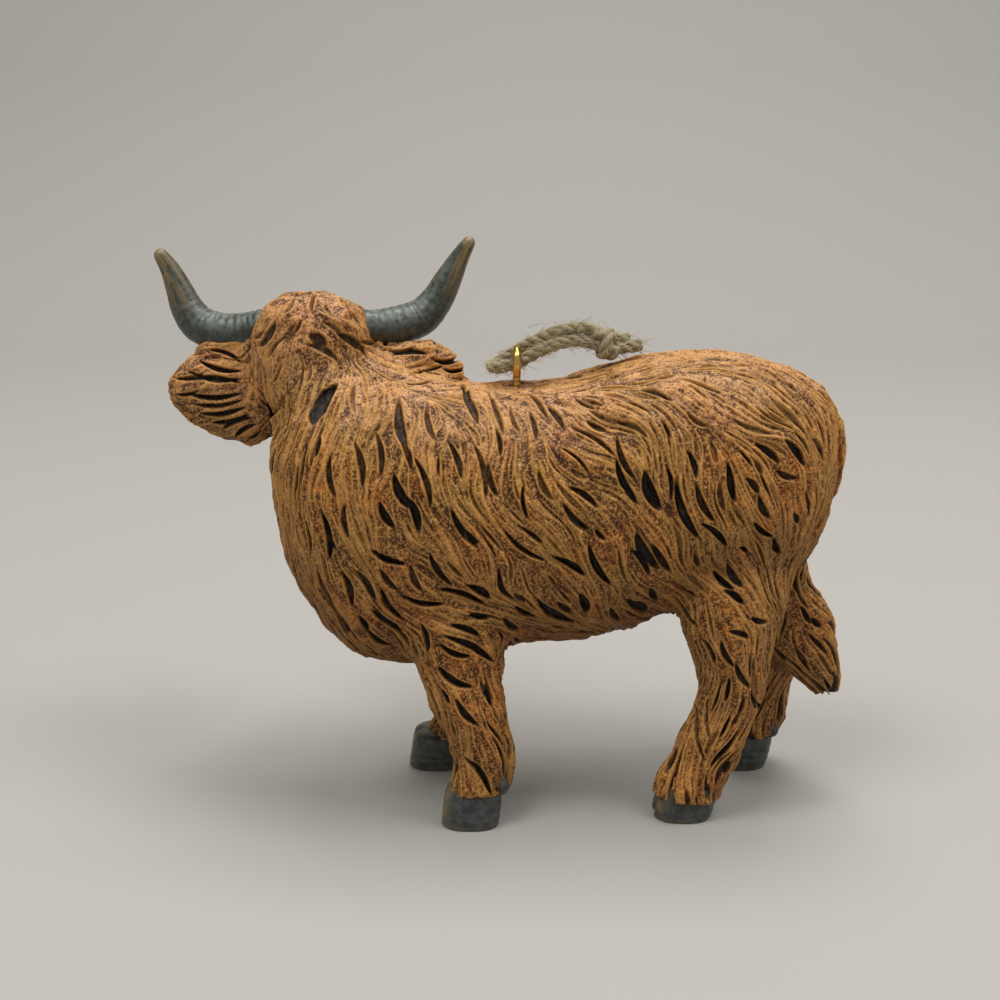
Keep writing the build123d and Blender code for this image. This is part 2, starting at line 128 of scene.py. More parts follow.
# Neck, from the shoulders to the nape, and the head along its own line, turned right and tilted down. Rows:
# share of the length and the half sizes, as shares of the neck's size or the head's width and height.
head_tilt = math.radians(37.5)
nape = np.array([-28.3, 1.5, 70.4])
muzzle_way = np.array([0, math.cos(head_tilt), -math.sin(head_tilt)])
head_up = np.array([0, math.sin(head_tilt), math.cos(head_tilt)])
neck_start = np.array([-11.0, 0.0, 50.0])
neck_end = nape + muzzle_way * 5.1 - head_up * 2.7
neck_line = neck_end - neck_start
neck_size = 27
neck_rows = [(0, 0.52, 0.5, 0.47), (0.35, 0.48, 0.47, 0.43), (0.7, 0.4, 0.42, 0.34), (1, 0.31, 0.32, 0.25)]
forms["neck"] = make_form(neck_start, neck_line, (0, 1, 0),
                          [(share * np.linalg.norm(neck_line), 0, 0, a * neck_size, b * neck_size, c * neck_size)
                           for share, a, b, c in neck_rows])
head_length, head_width, head_height = 35.6, 17, 16.4
head_rows = [(0.0, 0.1, 0.1), (0.04, 0.3, 0.3), (0.14, 0.47, 0.46), (0.28, 0.49, 0.49), (0.45, 0.43, 0.45),
             (0.62, 0.33, 0.35), (0.76, 0.305, 0.305), (0.88, 0.34, 0.3), (0.96, 0.3, 0.25), (1.0, 0.16, 0.12)]
forms["head"] = make_form(nape, muzzle_way, (1, 0, 0),
                          [(d * head_length, 0, 0, w * head_width, h * head_height, h * head_height)
                           for d, w, h in head_rows])
# The tuft on the poll, upright. Rows: share of its half height and of its half sizes along X and Y
tuft_rows = [(-1, 0.14), (-0.84, 0.5), (-0.4, 0.88), (0.1, 1), (0.5, 0.95), (0.78, 0.76), (0.93, 0.5), (1, 0.22)]
tuft_middle = nape + muzzle_way * 3.56 + (0, 0, 0.5)
tuft_x, tuft_y, tuft_z = 8.5, 7.5, 9.5
forms["tuft"] = make_form(tuft_middle, (0, 0, 1), (1, 0, 0),
                          [(h * tuft_z, 0, 0, w * tuft_x, w * tuft_y, w * tuft_y) for h, w in tuft_rows])
# The fringe on the brow. Rows: share of the head's length, height above its line, half width and thickness
fringe_rows = [(0.1, 0.36, 0.34, 0.16), (0.26, 0.46, 0.41, 0.19), (0.42, 0.42, 0.36, 0.17),
               (0.56, 0.37, 0.22, 0.12), (0.64, 0.33, 0.05, 0.04)]
forms["fringe"] = make_form(nape, muzzle_way, (1, 0, 0),
                            [(d * head_length, 0, -h * head_height, w * head_width, t * head_height,
                              t * head_height) for d, h, w, t in fringe_rows])
# Its locks hang from the poll over the brow: place across, length and half width
fringe_locks = [(-5.4, 19.0, 1.9), (-2.8, 23.5, 2.1), (0.1, 21.0, 2.3), (3.0, 24.5, 2.1), (5.5, 18.5, 1.9)]
for k, (across, length, half) in enumerate(fringe_locks):
    lock_rows = [(3.5, 0, -8.4, 0.8, 0.8), (7.0, 0, -10.0, half, 1.4), (12.0, 0.0, -10.2, half * 1.1, 1.6),
                 (length - 5, 0.1 * across, -9.2, half, 1.5), (length - 2, 0.16 * across, -7.9, half * 0.6, 1.0),
                 (length, 0.2 * across, -7.2, 0.3, 0.3)]
    forms[f"lock_{k}"] = make_form(nape + (across, 0, 0), muzzle_way, (1, 0, 0),
                                   [(d, aside, up, wide, thick, thick) for d, aside, up, wide, thick in lock_rows])

# Ears, hanging out sideways from the head. Rows: distance out, height, half height and half thickness, as shares
ear_length, ear_height, ear_thickness, ear_sink = 16.4, 13.4, 5.2, 1.64
ear_rows = [(0.0, -0.03, 0.4, 0.36), (0.14, -0.067, 0.485, 0.48), (0.33, -0.03, 0.47, 0.5),
            (0.51, 0.007, 0.448, 0.5), (0.73, 0.08, 0.366, 0.46), (0.87, 0.097, 0.216, 0.34),
            (0.94, 0.09, 0.09, 0.18)]
for name, sign, middle_z in (("ear_left", -1, 61.9), ("ear_right", 1, 64.4)):
    root = (nape[0] + sign * (head_width / 2 - ear_sink), 6.0, middle_z)
    forms[name] = make_form(root, (sign, 0, 0), (0, 1, 0),
                            [(out * ear_length, 0, sign * up * ear_height, t * ear_thickness, h * ear_height,
                              h * ear_height)
                             for out, up, h, t in ear_rows])

# The fold of skin between the left ear and the horn
forms["web_left"] = make_form((-34.0, 6.9, 69.4), (-1, 0, 0), (0, 1, 0),
                              [(0, 0, 0, 1.9, 3.4, 3.4), (3, 0, 0, 1.7, 2.7, 2.7), (6, 0, 0, 1.5, 2.0, 2.0),
                               (9, 0, 0, 1.2, 1.4, 1.4), (11.5, 0, 0.1, 0.8, 0.8, 0.8),
                               (12.2, 0, 0.1, 0.2, 0.2, 0.2)])

# Legs. Rows: height, offset to the rear, offset inwards, half length and half width, as shares of leg sizes
leg_rows = {
    "fore_leg_left": [(0.0, 0.05, 0.0, 0.46, 0.49), (0.1, 0.11, 0.0, 0.47, 0.48), (0.2, 0.05, 0.0, 0.49, 0.49),
                      (0.32, -0.1, 0.02, 0.56, 0.52), (0.45, -0.22, 0.12, 0.64, 0.56)],
    "fore_leg_right": [(0.0, 0.17, 0.0, 0.42, 0.48), (0.1, 0.34, 0.0, 0.37, 0.47), (0.2, 0.22, 0.0, 0.39, 0.49),
                       (0.32, 0.0, 0.02, 0.49, 0.52), (0.45, -0.2, 0.12, 0.62, 0.56)],
    "hind_leg_left": [(-0.055, 0.09, 0.0, 0.545, 0.55), (0.0, 0.15, 0.0, 0.55, 0.55), (0.1, 0.37, -0.02, 0.53, 0.5),
                      (0.19, 0.5, -0.02, 0.51, 0.5), (0.33, 0.7, 0.01, 0.5, 0.55), (0.47, 0.745, 0.06, 0.585, 0.64),
                      (0.6, 0.7, 0.13, 0.73, 0.7), (0.78, 0.76, 0.27, 0.86, 0.68), (1.0, 0.82, 0.5, 0.56, 0.42)],
    "hind_leg_right": [(0.0, 0.14, 0.0, 0.52, 0.5), (0.1, 0.38, -0.02, 0.54, 0.5), (0.19, 0.52, -0.02, 0.53, 0.5),
                       (0.33, 0.76, 0.01, 0.56, 0.55), (0.47, 0.84, 0.06, 0.68, 0.64), (0.6, 0.79, 0.13, 0.82, 0.7),
                       (0.78, 0.78, 0.27, 0.88, 0.68), (1.0, 0.82, 0.5, 0.56, 0.42)]}
for name in ("fore_leg_left", "fore_leg_right"):
    leg_rows[name] += [(0.6, -0.31, 0.22, 0.76, 0.62), (0.8, -0.34, 0.4, 0.78, 0.66), (1.0, -0.34, 0.58, 0.6, 0.5)]
# Where each leg's foot stands, X and Y, and how far its top leans back
stance = {"fore_leg_left": (-3.8, -11.5, 0.0), "fore_leg_right": (-9.8, 9.4, 5.0),
          "hind_leg_left": (27.9, -9.0, 0.0), "hind_leg_right": (39.4, 9.6, -10.0)}
hoof_height, leg_height, leg_length, leg_width = 5.6, 40.4, 9.4, 8.6
for name, (x, y, lean) in stance.items():
    inward = -math.copysign(leg_width, y)
    forms[name] = make_form((x, y, hoof_height), (0, 0, 1), (1, 0, 0),
                            [(up * leg_height, back * leg_length + up * lean, inside * inward, long * leg_length,
                              wide * leg_width, wide * leg_width)
                             for up, back, inside, long, wide in leg_rows[name]])

# Tail: level ovals from the foot of the switch up to the dock. Rows: share of the height, share of the torso's
# length from the chest, offset to the right, half length and half width, as shares of the tail's width.
tail_rows = [(0.0, 1.015, 0.3, 0.34, 0.2), (0.06, 0.998, 0.32, 0.74, 0.42), (0.15, 0.964, 0.34, 1.15, 0.58),
             (0.27, 0.953, 0.34, 1.1, 0.62), (0.37, 0.935, 0.26, 0.75, 0.58), (0.48, 0.932, 0.12, 0.47, 0.52),
             (0.6, 0.954, 0.04, 0.38, 0.5), (0.74, 0.986, 0.0, 0.36, 0.48), (0.88, 0.988, 0.0, 0.34, 0.46),
             (0.97, 0.965, 0.0, 0.3, 0.4), (1.0, 0.955, 0.0, 0.05, 0.05)]
tail_foot, tail_height, tail_width, torso_length = 15.4, 48, 5, 84.8
forms["tail"] = make_form((0, 0, tail_foot), (0, 0, 1), (1, 0, 0),
                          [(up * tail_height, chest_x + back * torso_length, right * tail_width,
                            long * tail_width, wide * tail_width, wide * tail_width)
                           for up, back, right, long, wide in tail_rows])
all_names = list(forms)
blend_width = 1.1


def near_forms(points, margin=6.0):
    """The forms whose tubes come within the margin of these points' box."""
    low, high = points.min(axis=0) - margin, points.max(axis=0) + margin
    near = []
    for name, form in forms.items():
        table = form["table"]
        middle = (form["origin"] + table[:, :1] * form["along"] + table[:, 1:2] * form["side"]
                  + table[:, 2:3] * form["up"])
        reach = table[:, 3:].max(axis=1)[:, None]
        if ((middle - reach < high) & (middle + reach > low)).all(axis=1).any():
            near.append(name)
    return near


def coat_field(points, names):
    """The smooth union of the forms: -k log of the sum of exp(-distance / k)."""
    total, cap = np.zeros(len(points)), 60
    for name in names:
        total += np.exp(np.clip(-form_distance(points, forms[name]) / blend_width, -cap, cap))
    return -blend_width * np.log(np.maximum(total, 1e-26))


def coat_slope(points, names, value):
    """The field's slope, from steps of 0.04 mm along X, Y and Z."""
    step = 0.04
    return np.stack([(coat_field(points + np.eye(3)[i] * step, names) - value) / step for i in range(3)], axis=1)


def settle(points, names, rounds=6, hidden=2.0):
    """Points moved along the field's slope on to the coat, and the outward normals there. Points that start more
    than the hidden depth inside another form go on lying inside, the deeper the more, by 0.85 of the excess."""
    points, longest_move = points.copy(), 1.2
    target = -0.85 * np.maximum(-coat_field(points, names) - hidden, 0)
    for _ in range(rounds):
        value = coat_field(points, names)
        slope = coat_slope(points, names, value)
        move = (value - target) / np.maximum((slope ** 2).sum(axis=1), 0.1)
        points -= np.clip(move, -longest_move, longest_move)[:, None] * slope
    return points, unit(coat_slope(points, names, coat_field(points, names)))


def press(x, z, side, names):
    """Points at these X and Z on the coat, as seen from the left (side -1) or the right (side 1): they start
    outside it and move in by 0.8 of the field's value a round."""
    outside, rounds = 22.0, 26
    points = np.stack([x, np.full(x.shape, side * outside), z], axis=1)
    for _ in range(rounds):
        value = coat_field(points, names)
        points[:, 1] -= side * np.clip(value * 0.8, -1.2, 2.0)
    return points


# The lie of the hair, carved in the real master with a gouge. Each mark is a place on the left side, X and Z,
# and the way the hair runs there, rearward and up; the right side has its mirror image.
flank_marks = [
    (-27.9, 68.4, -0.45, -0.9), (-30.2, 61.3, -0.1, -1), (-23.8, 65.6, -0.3, -0.95), (-19.6, 65.6, 0.1, -1),
    (-14.0, 64.2, 0.15, -1), (-9.8, 66.3, 0.6, -0.8), (-7.0, 66.3, 0.6, -0.8), (-4.2, 62.8, 0.3, -0.95),
    (-9.4, 60.3, -0.5, -0.85), (-11.3, 56.3, 0.05, -1), (-10.2, 51.1, 0.35, -0.94), (-4.2, 55.5, 0.1, -1),
    (-5.7, 48.2, 0.6, -0.8), (-17.0, 54.1, 0, -1), (-16.4, 48.2, 0.45, -0.9), (-22.7, 54.1, 0, -1),
    (-21.5, 46.7, 0.45, -0.9), (-27.0, 51.1, 0.05, -1), (-30.6, 51.1, -0.1, -1), (-25.9, 42.2, 0.15, -0.98),
    (-30.2, 42.2, 0.3, -0.95), (-18.7, 42.2, 0.75, -0.65), (-14.4, 42.2, 0.85, -0.5), (-11.6, 37.7, 0.97, -0.2),
    (-5.8, 37.7, 0.95, -0.3), (-21.7, 36.1, 0.6, -0.8), (-17.4, 33.1, 0.55, -0.83), (-24.7, 33.1, 0.6, -0.8),
    (-14.6, 28.4, 0.35, -0.94), (-10.2, 33.1, 0.65, -0.75), (-5.8, 30.0, 0.85, -0.5), (-2.9, 33.1, 0.85, -0.5),
    (-7.3, 25.3, 0.7, -0.7), (-5.9, 20.6, 0.5, -0.87), (-3.0, 14.2, 0.25, -0.97), (-4.5, 8.5, 0.3, -0.95),
    (-1.4, 58.4, 0.1, -1), (0.0, 51.1, 0.3, -0.95), (2.9, 45.2, 0.7, -0.7), (0.0, 40.7, 0.1, -1),
    (-1.4, 36.1, 0.8, -0.6), (4.2, 59.9, 0.3, -0.95), (8.4, 61.3, 0.7, -0.7), (5.7, 52.6, 0.35, -0.94),
    (8.6, 48.2, 0.6, -0.8), (14.3, 44.5, 0.75, -0.65), (10.6, 55.5, 0.65, -0.75), (14.2, 51.1, 0.7, -0.7),
    (15.8, 42.2, 0.35, -0.94), (8.6, 42.2, 0.85, -0.5), (8.7, 36.1, 0.7, -0.7), (14.5, 36.1, 0.4, -0.92),
    (4.4, 34.6, 0.8, -0.6), (14.1, 59.9, 0.8, -0.6), (19.8, 55.5, 0.3, -0.95), (19.6, 62.8, 0.85, -0.5),
    (21.3, 51.1, 0.35, -0.94), (20.1, 42.2, 0.5, -0.87), (20.3, 34.6, 0.6, -0.8), (8.4, 66.0, 0.8, -0.6),
    (13.9, 66.5, 0.92, -0.38), (2.8, 65.2, 0.6, -0.8), (25.0, 69.1, 0.95, -0.3), (30.7, 67.7, 0.9, -0.45),
    (36.2, 67.7, 0.85, -0.53), (41.9, 65.6, 0.65, -0.75), (45.7, 61.3, 0.35, -0.93), (47.8, 55.5, -0.1, -1),
    (28.0, 64.2, 0.8, -0.6), (32.3, 62.8, 0.6, -0.8), (36.5, 61.3, 0.55, -0.83), (40.9, 58.4, 0.55, -0.83),
    (28.2, 58.4, 0.1, -1), (26.9, 54.1, 0.3, -0.95), (31.2, 54.1, 0, -1), (35.4, 54.1, 0.4, -0.9),
    (39.7, 54.1, 0.5, -0.87), (44.1, 51.1, 0.2, -0.98), (45.7, 48.2, -0.35, -0.93), (43.0, 44.5, -0.5, -0.87),
    (40.2, 44.5, 0.1, -1), (37.2, 46.7, 0.55, -0.83), (32.9, 46.7, 0.3, -0.95), (28.7, 45.2, 0.5, -0.87),
    (25.9, 42.2, 0.45, -0.9), (31.7, 40.7, 0.6, -0.8), (36.1, 39.2, 0.55, -0.83), (39.1, 36.1, 0.3, -0.95),
    (29.0, 36.1, 0.55, -0.83), (34.9, 33.1, 0.65, -0.75), (29.2, 30.0, 0.4, -0.92), (33.6, 28.4, 0.35, -0.94),
    (38.0, 28.4, -0.1, -1), (32.4, 22.2, 0, -1), (36.8, 22.2, -0.35, -0.93), (29.7, 15.8, -0.15, -0.98),
    (34.2, 14.2, -0.25, -0.97), (28.4, 8.5, -0.1, -1), (43.5, 36.1, 0.15, -0.98), (46.7, 30.0, 0.35, -0.93),
    (49.2, 25.3, 0.4, -0.9)]
# The back of the head and the ears, as seen from the left: the hair spreads from a whorl on the poll
head_marks = [
    (-30.5, 75.2, -0.75, -0.65), (-24.7, 75.2, 0.75, -0.65), (-28.1, 73.1, 0, -1), (-32.7, 73.8, -0.8, -0.6),
    (-21.8, 73.8, 0.8, -0.6), (-31.4, 70.9, -0.4, -0.9), (-24.8, 70.9, 0.3, -0.95), (-20.4, 70.9, 0.7, -0.7),
    (-34.4, 67.9, -0.2, -0.98), (-30.8, 67.2, -0.3, -0.95), (-35.3, 63.4, 0.1, -1), (-32.4, 61.9, 0, -1),
    (-42.6, 64.9, -1, 0), (-44.0, 67.6, -0.95, 0.25), (-43.6, 59.7, -0.9, -0.45), (-38.4, 59.7, -0.6, -0.8),
    (-45.7, 62.7, -1, -0.15), (-11.7, 69.1, 0.9, 0.3), (-8.8, 67.0, 1, -0.1), (-11.7, 66.0, 0.9, -0.3)]
# The far side of the head: place and way in full, running down the brow and the cheeks to the muzzle
brow_marks = [(x, y, z, x_way, 0.8, -0.6) for x, y, z, x_way in
              ((-28.3, 8, 78, 0.0), (-32, 12, 73, -0.2), (-24.5, 12, 73, 0.2), (-28.3, 18, 69, 0.0),
               (-35, 10, 66, -0.3), (-21.5, 10, 66, 0.3), (-28.3, 26, 58, 0.0), (-32, 18, 58, -0.1),
               (-24.5, 18, 58, 0.1), (-28.3, 22, 50, 0.0))]
marks = np.array(flank_marks + head_marks)
left_marks = press(marks[:, 0], marks[:, 1], -1, all_names)
left_ways = np.stack([marks[:, 2], np.zeros(len(marks)), marks[:, 3]], axis=1)
flanks = len(flank_marks)
brow = np.array(brow_marks)
mark_places = np.concatenate([left_marks, left_marks[:flanks] * (1, -1, 1), brow[:, :3]])
mark_ways = np.concatenate([left_ways, left_ways[:flanks], brow[:, 3:]])


def lattice_values(points, cell, lattice):
    """Random values on a lattice of cells, blended between the eight corners round each point."""
    size = lattice.shape[0]
    place = points / cell
    base = np.floor(place).astype(np.int32)
    part = (place - base).astype(np.float32)
    part = part * part * (3 - 2 * part)
    low, high = base % size, (base + 1) % size
    total = np.zeros(len(points), np.float32)
    for i, j, k in np.ndindex(2, 2, 2):
        corner = lattice[(high if i else low)[:, 0], (high if j else low)[:, 1], (high if k else low)[:, 2]]
        weight = 1.0
        for axis, far in enumerate((i, j, k)):
            weight = weight * (part[:, axis] if far else 1 - part[:, axis])
        total += corner * weight
    return total


random = np.random.default_rng(41)
wander_lattice, lock_lattice, strand_lattice = (random.standard_normal((48, 48, 48)).astype(np.float32)
                                                for _ in range(3))


def hair_way(points, normals):
    """The hair's run: the marks' ways with weights 1 / (distance^2 + 3)^2, laid flat on the skin and turned
    either way by a slow random wander, mostly less than 25 degrees."""
    evenness, wander, wander_cell = 3.0, 0.4, 5.5
    gap = ((points ** 2).sum(axis=1)[:, None] + (mark_places ** 2).sum(axis=1)[None]
           - 2 * points @ mark_places.T)
    weight = 1 / (np.maximum(gap, 0) + evenness) ** 2
    way = weight @ mark_ways
    way = unit(way - normals * (way * normals).sum(axis=1)[:, None])
    turn = wander * lattice_values(points, wander_cell, wander_lattice)[:, None]
    return way * np.cos(turn) + np.cross(normals, way) * np.sin(turn)


def combed(points, way, cell, reach, lattice, samples=11):
    """Lattice values summed along the hair's run, which draws them out into strands, with a spread of 1."""
    total = np.zeros(len(points), np.float32)
    for step in np.linspace(-reach, reach, samples):
        total += lattice_values(points + way * step, cell, lattice)
    return total / total.std()


# Gouges seen on the left side: X and Z of both ends, the widest width and the strength, 1 for a deep black one.
# The last are on the back of the head, where they are fainter, and on the ears. Each bows a little to one side.
seen_gouges = [
    (-2.2, 65.0, 0.4, 60.1, 0.6, 0.5), (-0.8, 61.2, 0.0, 57.2, 0.6, 0.6), (-1.7, 57.2, -0.2, 51.8, 0.8, 0.6),
    (1.4, 63.6, 2.9, 60.4, 0.6, 0.4), (3.9, 63.3, 5.1, 59.3, 0.6, 0.4), (3.6, 64.6, 7.0, 62.0, 0.6, 0.5),
    (6.5, 63.6, 9.1, 60.9, 0.8, 0.6), (8.1, 58.8, 12.9, 54.7, 0.4, 0.7), (9.6, 61.2, 16.5, 57.2, 0.6, 0.6),
    (16.4, 60.6, 19.2, 54.2, 0.8, 0.7), (16.3, 57.7, 19.5, 51.2, 0.9, 0.95), (20.4, 56.1, 23.0, 49.6, 1.6, 1),
    (23.3, 56.6, 24.2, 51.2, 0.6, 0.8), (3.4, 54.2, 4.1, 48.5, 0.5, 0.9), (5.3, 56.1, 7.7, 51.2, 0.8, 0.5),
    (8.7, 51.5, 13.0, 46.8, 0.9, 0.75), (9.2, 53.4, 14.0, 50.1, 0.8, 0.7), (13.5, 47.4, 15.1, 45.5, 0.6, 0.8),
    (0.0, 47.9, 6.9, 42.4, 0.6, 0.9), (7.2, 43.2, 12.3, 39.9, 0.9, 1), (12.5, 45.7, 16.3, 38.2, 0.9, 1),
    (18.6, 44.1, 21.6, 39.6, 0.8, 1), (19.3, 47.1, 23.0, 40.7, 1.5, 0.85), (5.1, 36.8, 11.3, 31.7, 1.3, 1),
    (11.3, 37.7, 12.5, 33.7, 1.2, 1), (2.0, 35.5, 5.4, 33.3, 0.9, 1), (0.4, 33.7, 3.0, 30.7, 0.9, 0.8),
    (16.1, 34.5, 17.8, 31.7, 0.9, 0.7), (18.3, 35.4, 21.8, 32.0, 1.8, 0.75), (-5.1, 39.0, -1.3, 36.5, 1.1, 1),
    (-5.0, 47.4, -2.9, 45.2, 0.8, 1), (22.0, 37.4, 23.1, 35.1, 0.9, 1), (17.4, 52.6, 19.5, 50.7, 0.6, 0.8),
    (26.3, 58.6, 27.7, 54.3, 0.8, 0.8), (24.8, 54.9, 28.8, 45.1, 1.1, 0.9), (27.7, 54.3, 30.8, 47.8, 0.9, 0.7),
    (28.2, 48.1, 32.8, 43.7, 0.8, 0.9), (34.6, 54.6, 36.7, 51.9, 0.9, 0.7), (36.7, 52.2, 38.8, 48.1, 0.9, 0.7),
    (40.0, 59.7, 43.7, 55.2, 1.1, 0.85), (39.2, 55.4, 42.7, 53.8, 0.9, 0.5), (36.1, 48.1, 39.6, 45.1, 0.7, 0.95),
    (42.2, 48.6, 43.3, 46.7, 0.9, 0.7), (26.3, 63.7, 29.5, 61.6, 0.6, 0.4), (19.6, 66.1, 24.5, 64.8, 0.6, 0.5),
    (41.2, 66.7, 42.8, 65.5, 0.6, 0.5), (30.8, 40.3, 34.2, 37.2, 0.8, 1), (32.9, 41.2, 35.5, 37.5, 1.1, 0.7),
    (32.3, 37.2, 35.6, 35.0, 0.9, 1), (36.5, 33.3, 39.2, 32.2, 0.8, 0.8), (33.1, 31.3, 36.6, 30.0, 0.8, 0.8),
    (44.7, 59.5, 46.8, 55.4, 0.8, 0.5), (34.4, 43.9, 35.8, 42.8, 0.6, 0.7), (26.9, 36.7, 28.6, 35.5, 0.6, 0.6),
    (39.7, 45.1, 41.2, 41.8, 0.9, 0.8), (-17.1, 51.4, -14.9, 47.3, 1.1, 1), (-15.0, 55.5, -12.5, 50.0, 1.2, 1),
    (-13.4, 52.3, -11.6, 46.5, 1.1, 0.95), (-12.4, 57.7, -9.8, 50.1, 0.8, 0.7), (-7.1, 51.0, -2.9, 44.5, 0.9, 0.8),
    (-18.9, 44.2, -13.2, 42.1, 0.9, 1), (-10.2, 44.3, -6.6, 38.6, 0.9, 0.8), (-14.9, 37.2, -7.8, 36.0, 0.8, 0.9),
    (-9.4, 38.1, -1.9, 35.5, 0.9, 0.9), (-25.8, 50.1, -24.8, 41.5, 0.9, 0.9), (-24.5, 46.4, -23.4, 43.4, 0.8, 0.8),
    (-27.7, 39.5, -26.1, 34.6, 0.9, 0.8), (-20.8, 33.7, -19.5, 30.5, 0.9, 1), (-19.7, 31.5, -15.8, 27.8, 0.9, 0.9),
    (-11.6, 33.1, -10.7, 27.8, 0.9, 0.9), (-7.7, 32.8, -2.8, 30.6, 0.9, 0.9), (-9.0, 31.4, -0.6, 25.9, 0.9, 1),
    (-9.2, 26.4, -5.7, 23.7, 0.9, 1), (-9.2, 30.0, -4.1, 27.7, 0.8, 1), (-9.4, 26.1, -3.8, 23.0, 0.9, 1),
    (-9.6, 23.0, -7.4, 20.3, 0.9, 0.9), (-6.6, 21.9, -3.0, 17.1, 0.9, 0.9), (-5.8, 12.6, -1.2, 5.6, 0.8, 0.9),
    (-23.3, 66.7, -27.0, 60.9, 2.5, 1), (-14.4, 64.9, -13.0, 58.1, 1.3, 0.6), (-6.3, 65.7, -3.1, 61.3, 1.1, 0.6),
    (-14.4, 59.9, -12.5, 55.5, 0.8, 0.6), (-10.5, 64.2, -9.0, 59.2, 0.8, 0.4), (-7.7, 59.9, -5.4, 54.1, 0.8, 0.6),
    (-4.2, 59.9, -2.0, 51.1, 0.8, 0.5), (-21.1, 59.9, -19.6, 52.6, 0.9, 0.5), (-18.0, 61.3, -17.0, 54.1, 0.8, 0.5),
    (-24.0, 57.7, -23.3, 51.1, 0.9, 0.6), (-23.1, 40.7, -21.5, 34.6, 0.9, 0.7), (-17.3, 41.5, -14.5, 37.7, 0.9, 0.7),
    (-12.9, 42.2, -11.0, 37.7, 0.9, 0.6), (-28.6, 48.2, -27.6, 42.2, 0.8, 0.6), (-22.1, 51.1, -21.5, 45.2, 0.8, 0.6),
    (28.0, 20.6, 29.7, 14.2, 0.6, 0.5), (29.6, 18.2, 30.8, 10.2, 0.6, 0.5), (31.3, 20.6, 31.5, 13.4, 0.6, 0.4),
    (37.1, 22.2, 39.4, 17.4, 0.9, 0.9), (32.1, 30.0, 34.5, 25.6, 0.8, 0.8), (29.2, 30.0, 31.7, 25.6, 0.8, 0.7),
    (34.4, 26.9, 37.1, 22.2, 0.8, 0.7), (26.7, 34.6, 29.2, 30.9, 0.8, 0.7),
    (-32.8, 75.1, -36.0, 70.7, 1.3, 0.85), (-31.0, 73.1, -34.2, 69.1, 0.6, 0.5), (-28.1, 73.2, -25.3, 71.0, 1.7, 0.9),
    (-28.7, 71.8, -23.2, 69.0, 0.9, 0.8), (-24.5, 73.6, -19.5, 68.7, 1.2, 0.85), (-26.2, 75.1, -22.8, 72.2, 0.7, 0.6),
    (-19.0, 72.9, -16.9, 70.1, 1.1, 0.9), (-36.2, 70.7, -36.7, 64.5, 0.6, 0.6), (-36.7, 64.5, -35.5, 62.1, 0.6, 0.6),
    (-33.4, 64.5, -32.6, 62.6, 0.6, 0.8), (-30.1, 66.0, -31.0, 62.1, 0.5, 0.5), (-29.1, 70.7, -29.7, 63.9, 0.5, 0.45),
    (-21.0, 66.8, -20.7, 62.6, 0.6, 0.5), (-30.2, 78.3, -31.6, 75.7, 0.7, 0.6), (-27.1, 78.6, -27.6, 76.0, 0.6, 0.6),
    (-23.7, 78.9, -22.9, 76.6, 0.8, 0.7), (-28.9, 75.4, -30.1, 73.4, 0.5, 0.5), (-25.7, 77.4, -24.6, 75.7, 0.6, 0.5),
    (-22.4, 75.7, -20.6, 73.4, 0.8, 0.7), (-34.5, 73.9, -36.9, 71.6, 0.7, 0.6), (-31.9, 69.3, -33.9, 65.4, 0.5, 0.5),
    (-27.7, 69.3, -28.4, 66.0, 0.5, 0.4), (-21.0, 71.8, -18.6, 70.7, 0.7, 0.6), (-38.7, 67.4, -44.3, 69.6, 0.6, 0.7),
    (-38.4, 66.5, -45.8, 68.1, 0.7, 0.8), (-38.3, 65.5, -47.4, 66.5, 0.7, 0.8), (-38.3, 64.4, -48.3, 64.9, 0.6, 0.8),
    (-38.2, 63.5, -47.9, 63.2, 0.7, 0.9), (-38.1, 62.6, -47.2, 61.6, 0.6, 0.8), (-37.9, 61.5, -46.1, 60.1, 0.7, 0.9),
    (-37.6, 60.4, -44.4, 58.5, 0.7, 0.9), (-37.2, 59.5, -42.6, 57.3, 0.7, 0.9), (-36.8, 58.5, -40.8, 56.0, 0.7, 0.9),
    (-36.2, 57.6, -39.0, 55.6, 0.6, 0.8), (-44.4, 66.5, -49.5, 65.3, 0.5, 0.7), (-45.3, 63.8, -49.4, 62.9, 0.5, 0.7),
    (-17.4, 69.6, -12.7, 70.0, 0.6, 0.8), (-16.8, 68.7, -10.8, 69.0, 0.8, 0.8), (-16.2, 67.4, -8.3, 67.4, 0.6, 0.8),
    (-12.0, 70.6, -7.2, 69.6, 0.6, 0.8), (-10.5, 68.4, -5.6, 68.1, 0.7, 0.8), (-9.0, 67.1, -4.8, 66.5, 0.5, 0.8),
    (-15.1, 66.5, -9.0, 66.2, 0.6, 0.8)]
stroke_points = 15
head_and_ear_gouges, ear_gouges, head_strength = 43, 20, 0.62
bow_share, face_gap = 0.09, 2.5
share = np.linspace(0, 1, stroke_points)
seen = np.array(seen_gouges)
seen[-head_and_ear_gouges:-ear_gouges, 5] *= head_strength
run = seen[:, 2:4] - seen[:, :2]
bow = bow_share * np.sin(np.pi * share)[None, :, None] * np.stack([-run[:, 1], run[:, 0]], axis=1)[:, None]
line = seen[:, None, :2] + share[None, :, None] * run[:, None] + bow * random.choice([-1, 1], (len(seen), 1, 1))
line_sides = [press(line[..., 0].ravel(), line[..., 1].ravel(), side, all_names).reshape(-1, stroke_points, 3)
              for side in (-1, 1)]
# The head is turned, so the right side of it is the face, which gets none of the mirrored gouges
face_forms = [name for name in forms if name in ("head", "tuft", "fringe") or name.startswith("lock")]
on_face = np.min([form_distance(line_sides[1][:, stroke_points // 2], forms[name])
                  for name in face_forms], axis=0) < face_gap
line_sides[1] = line_sides[1][~on_face]


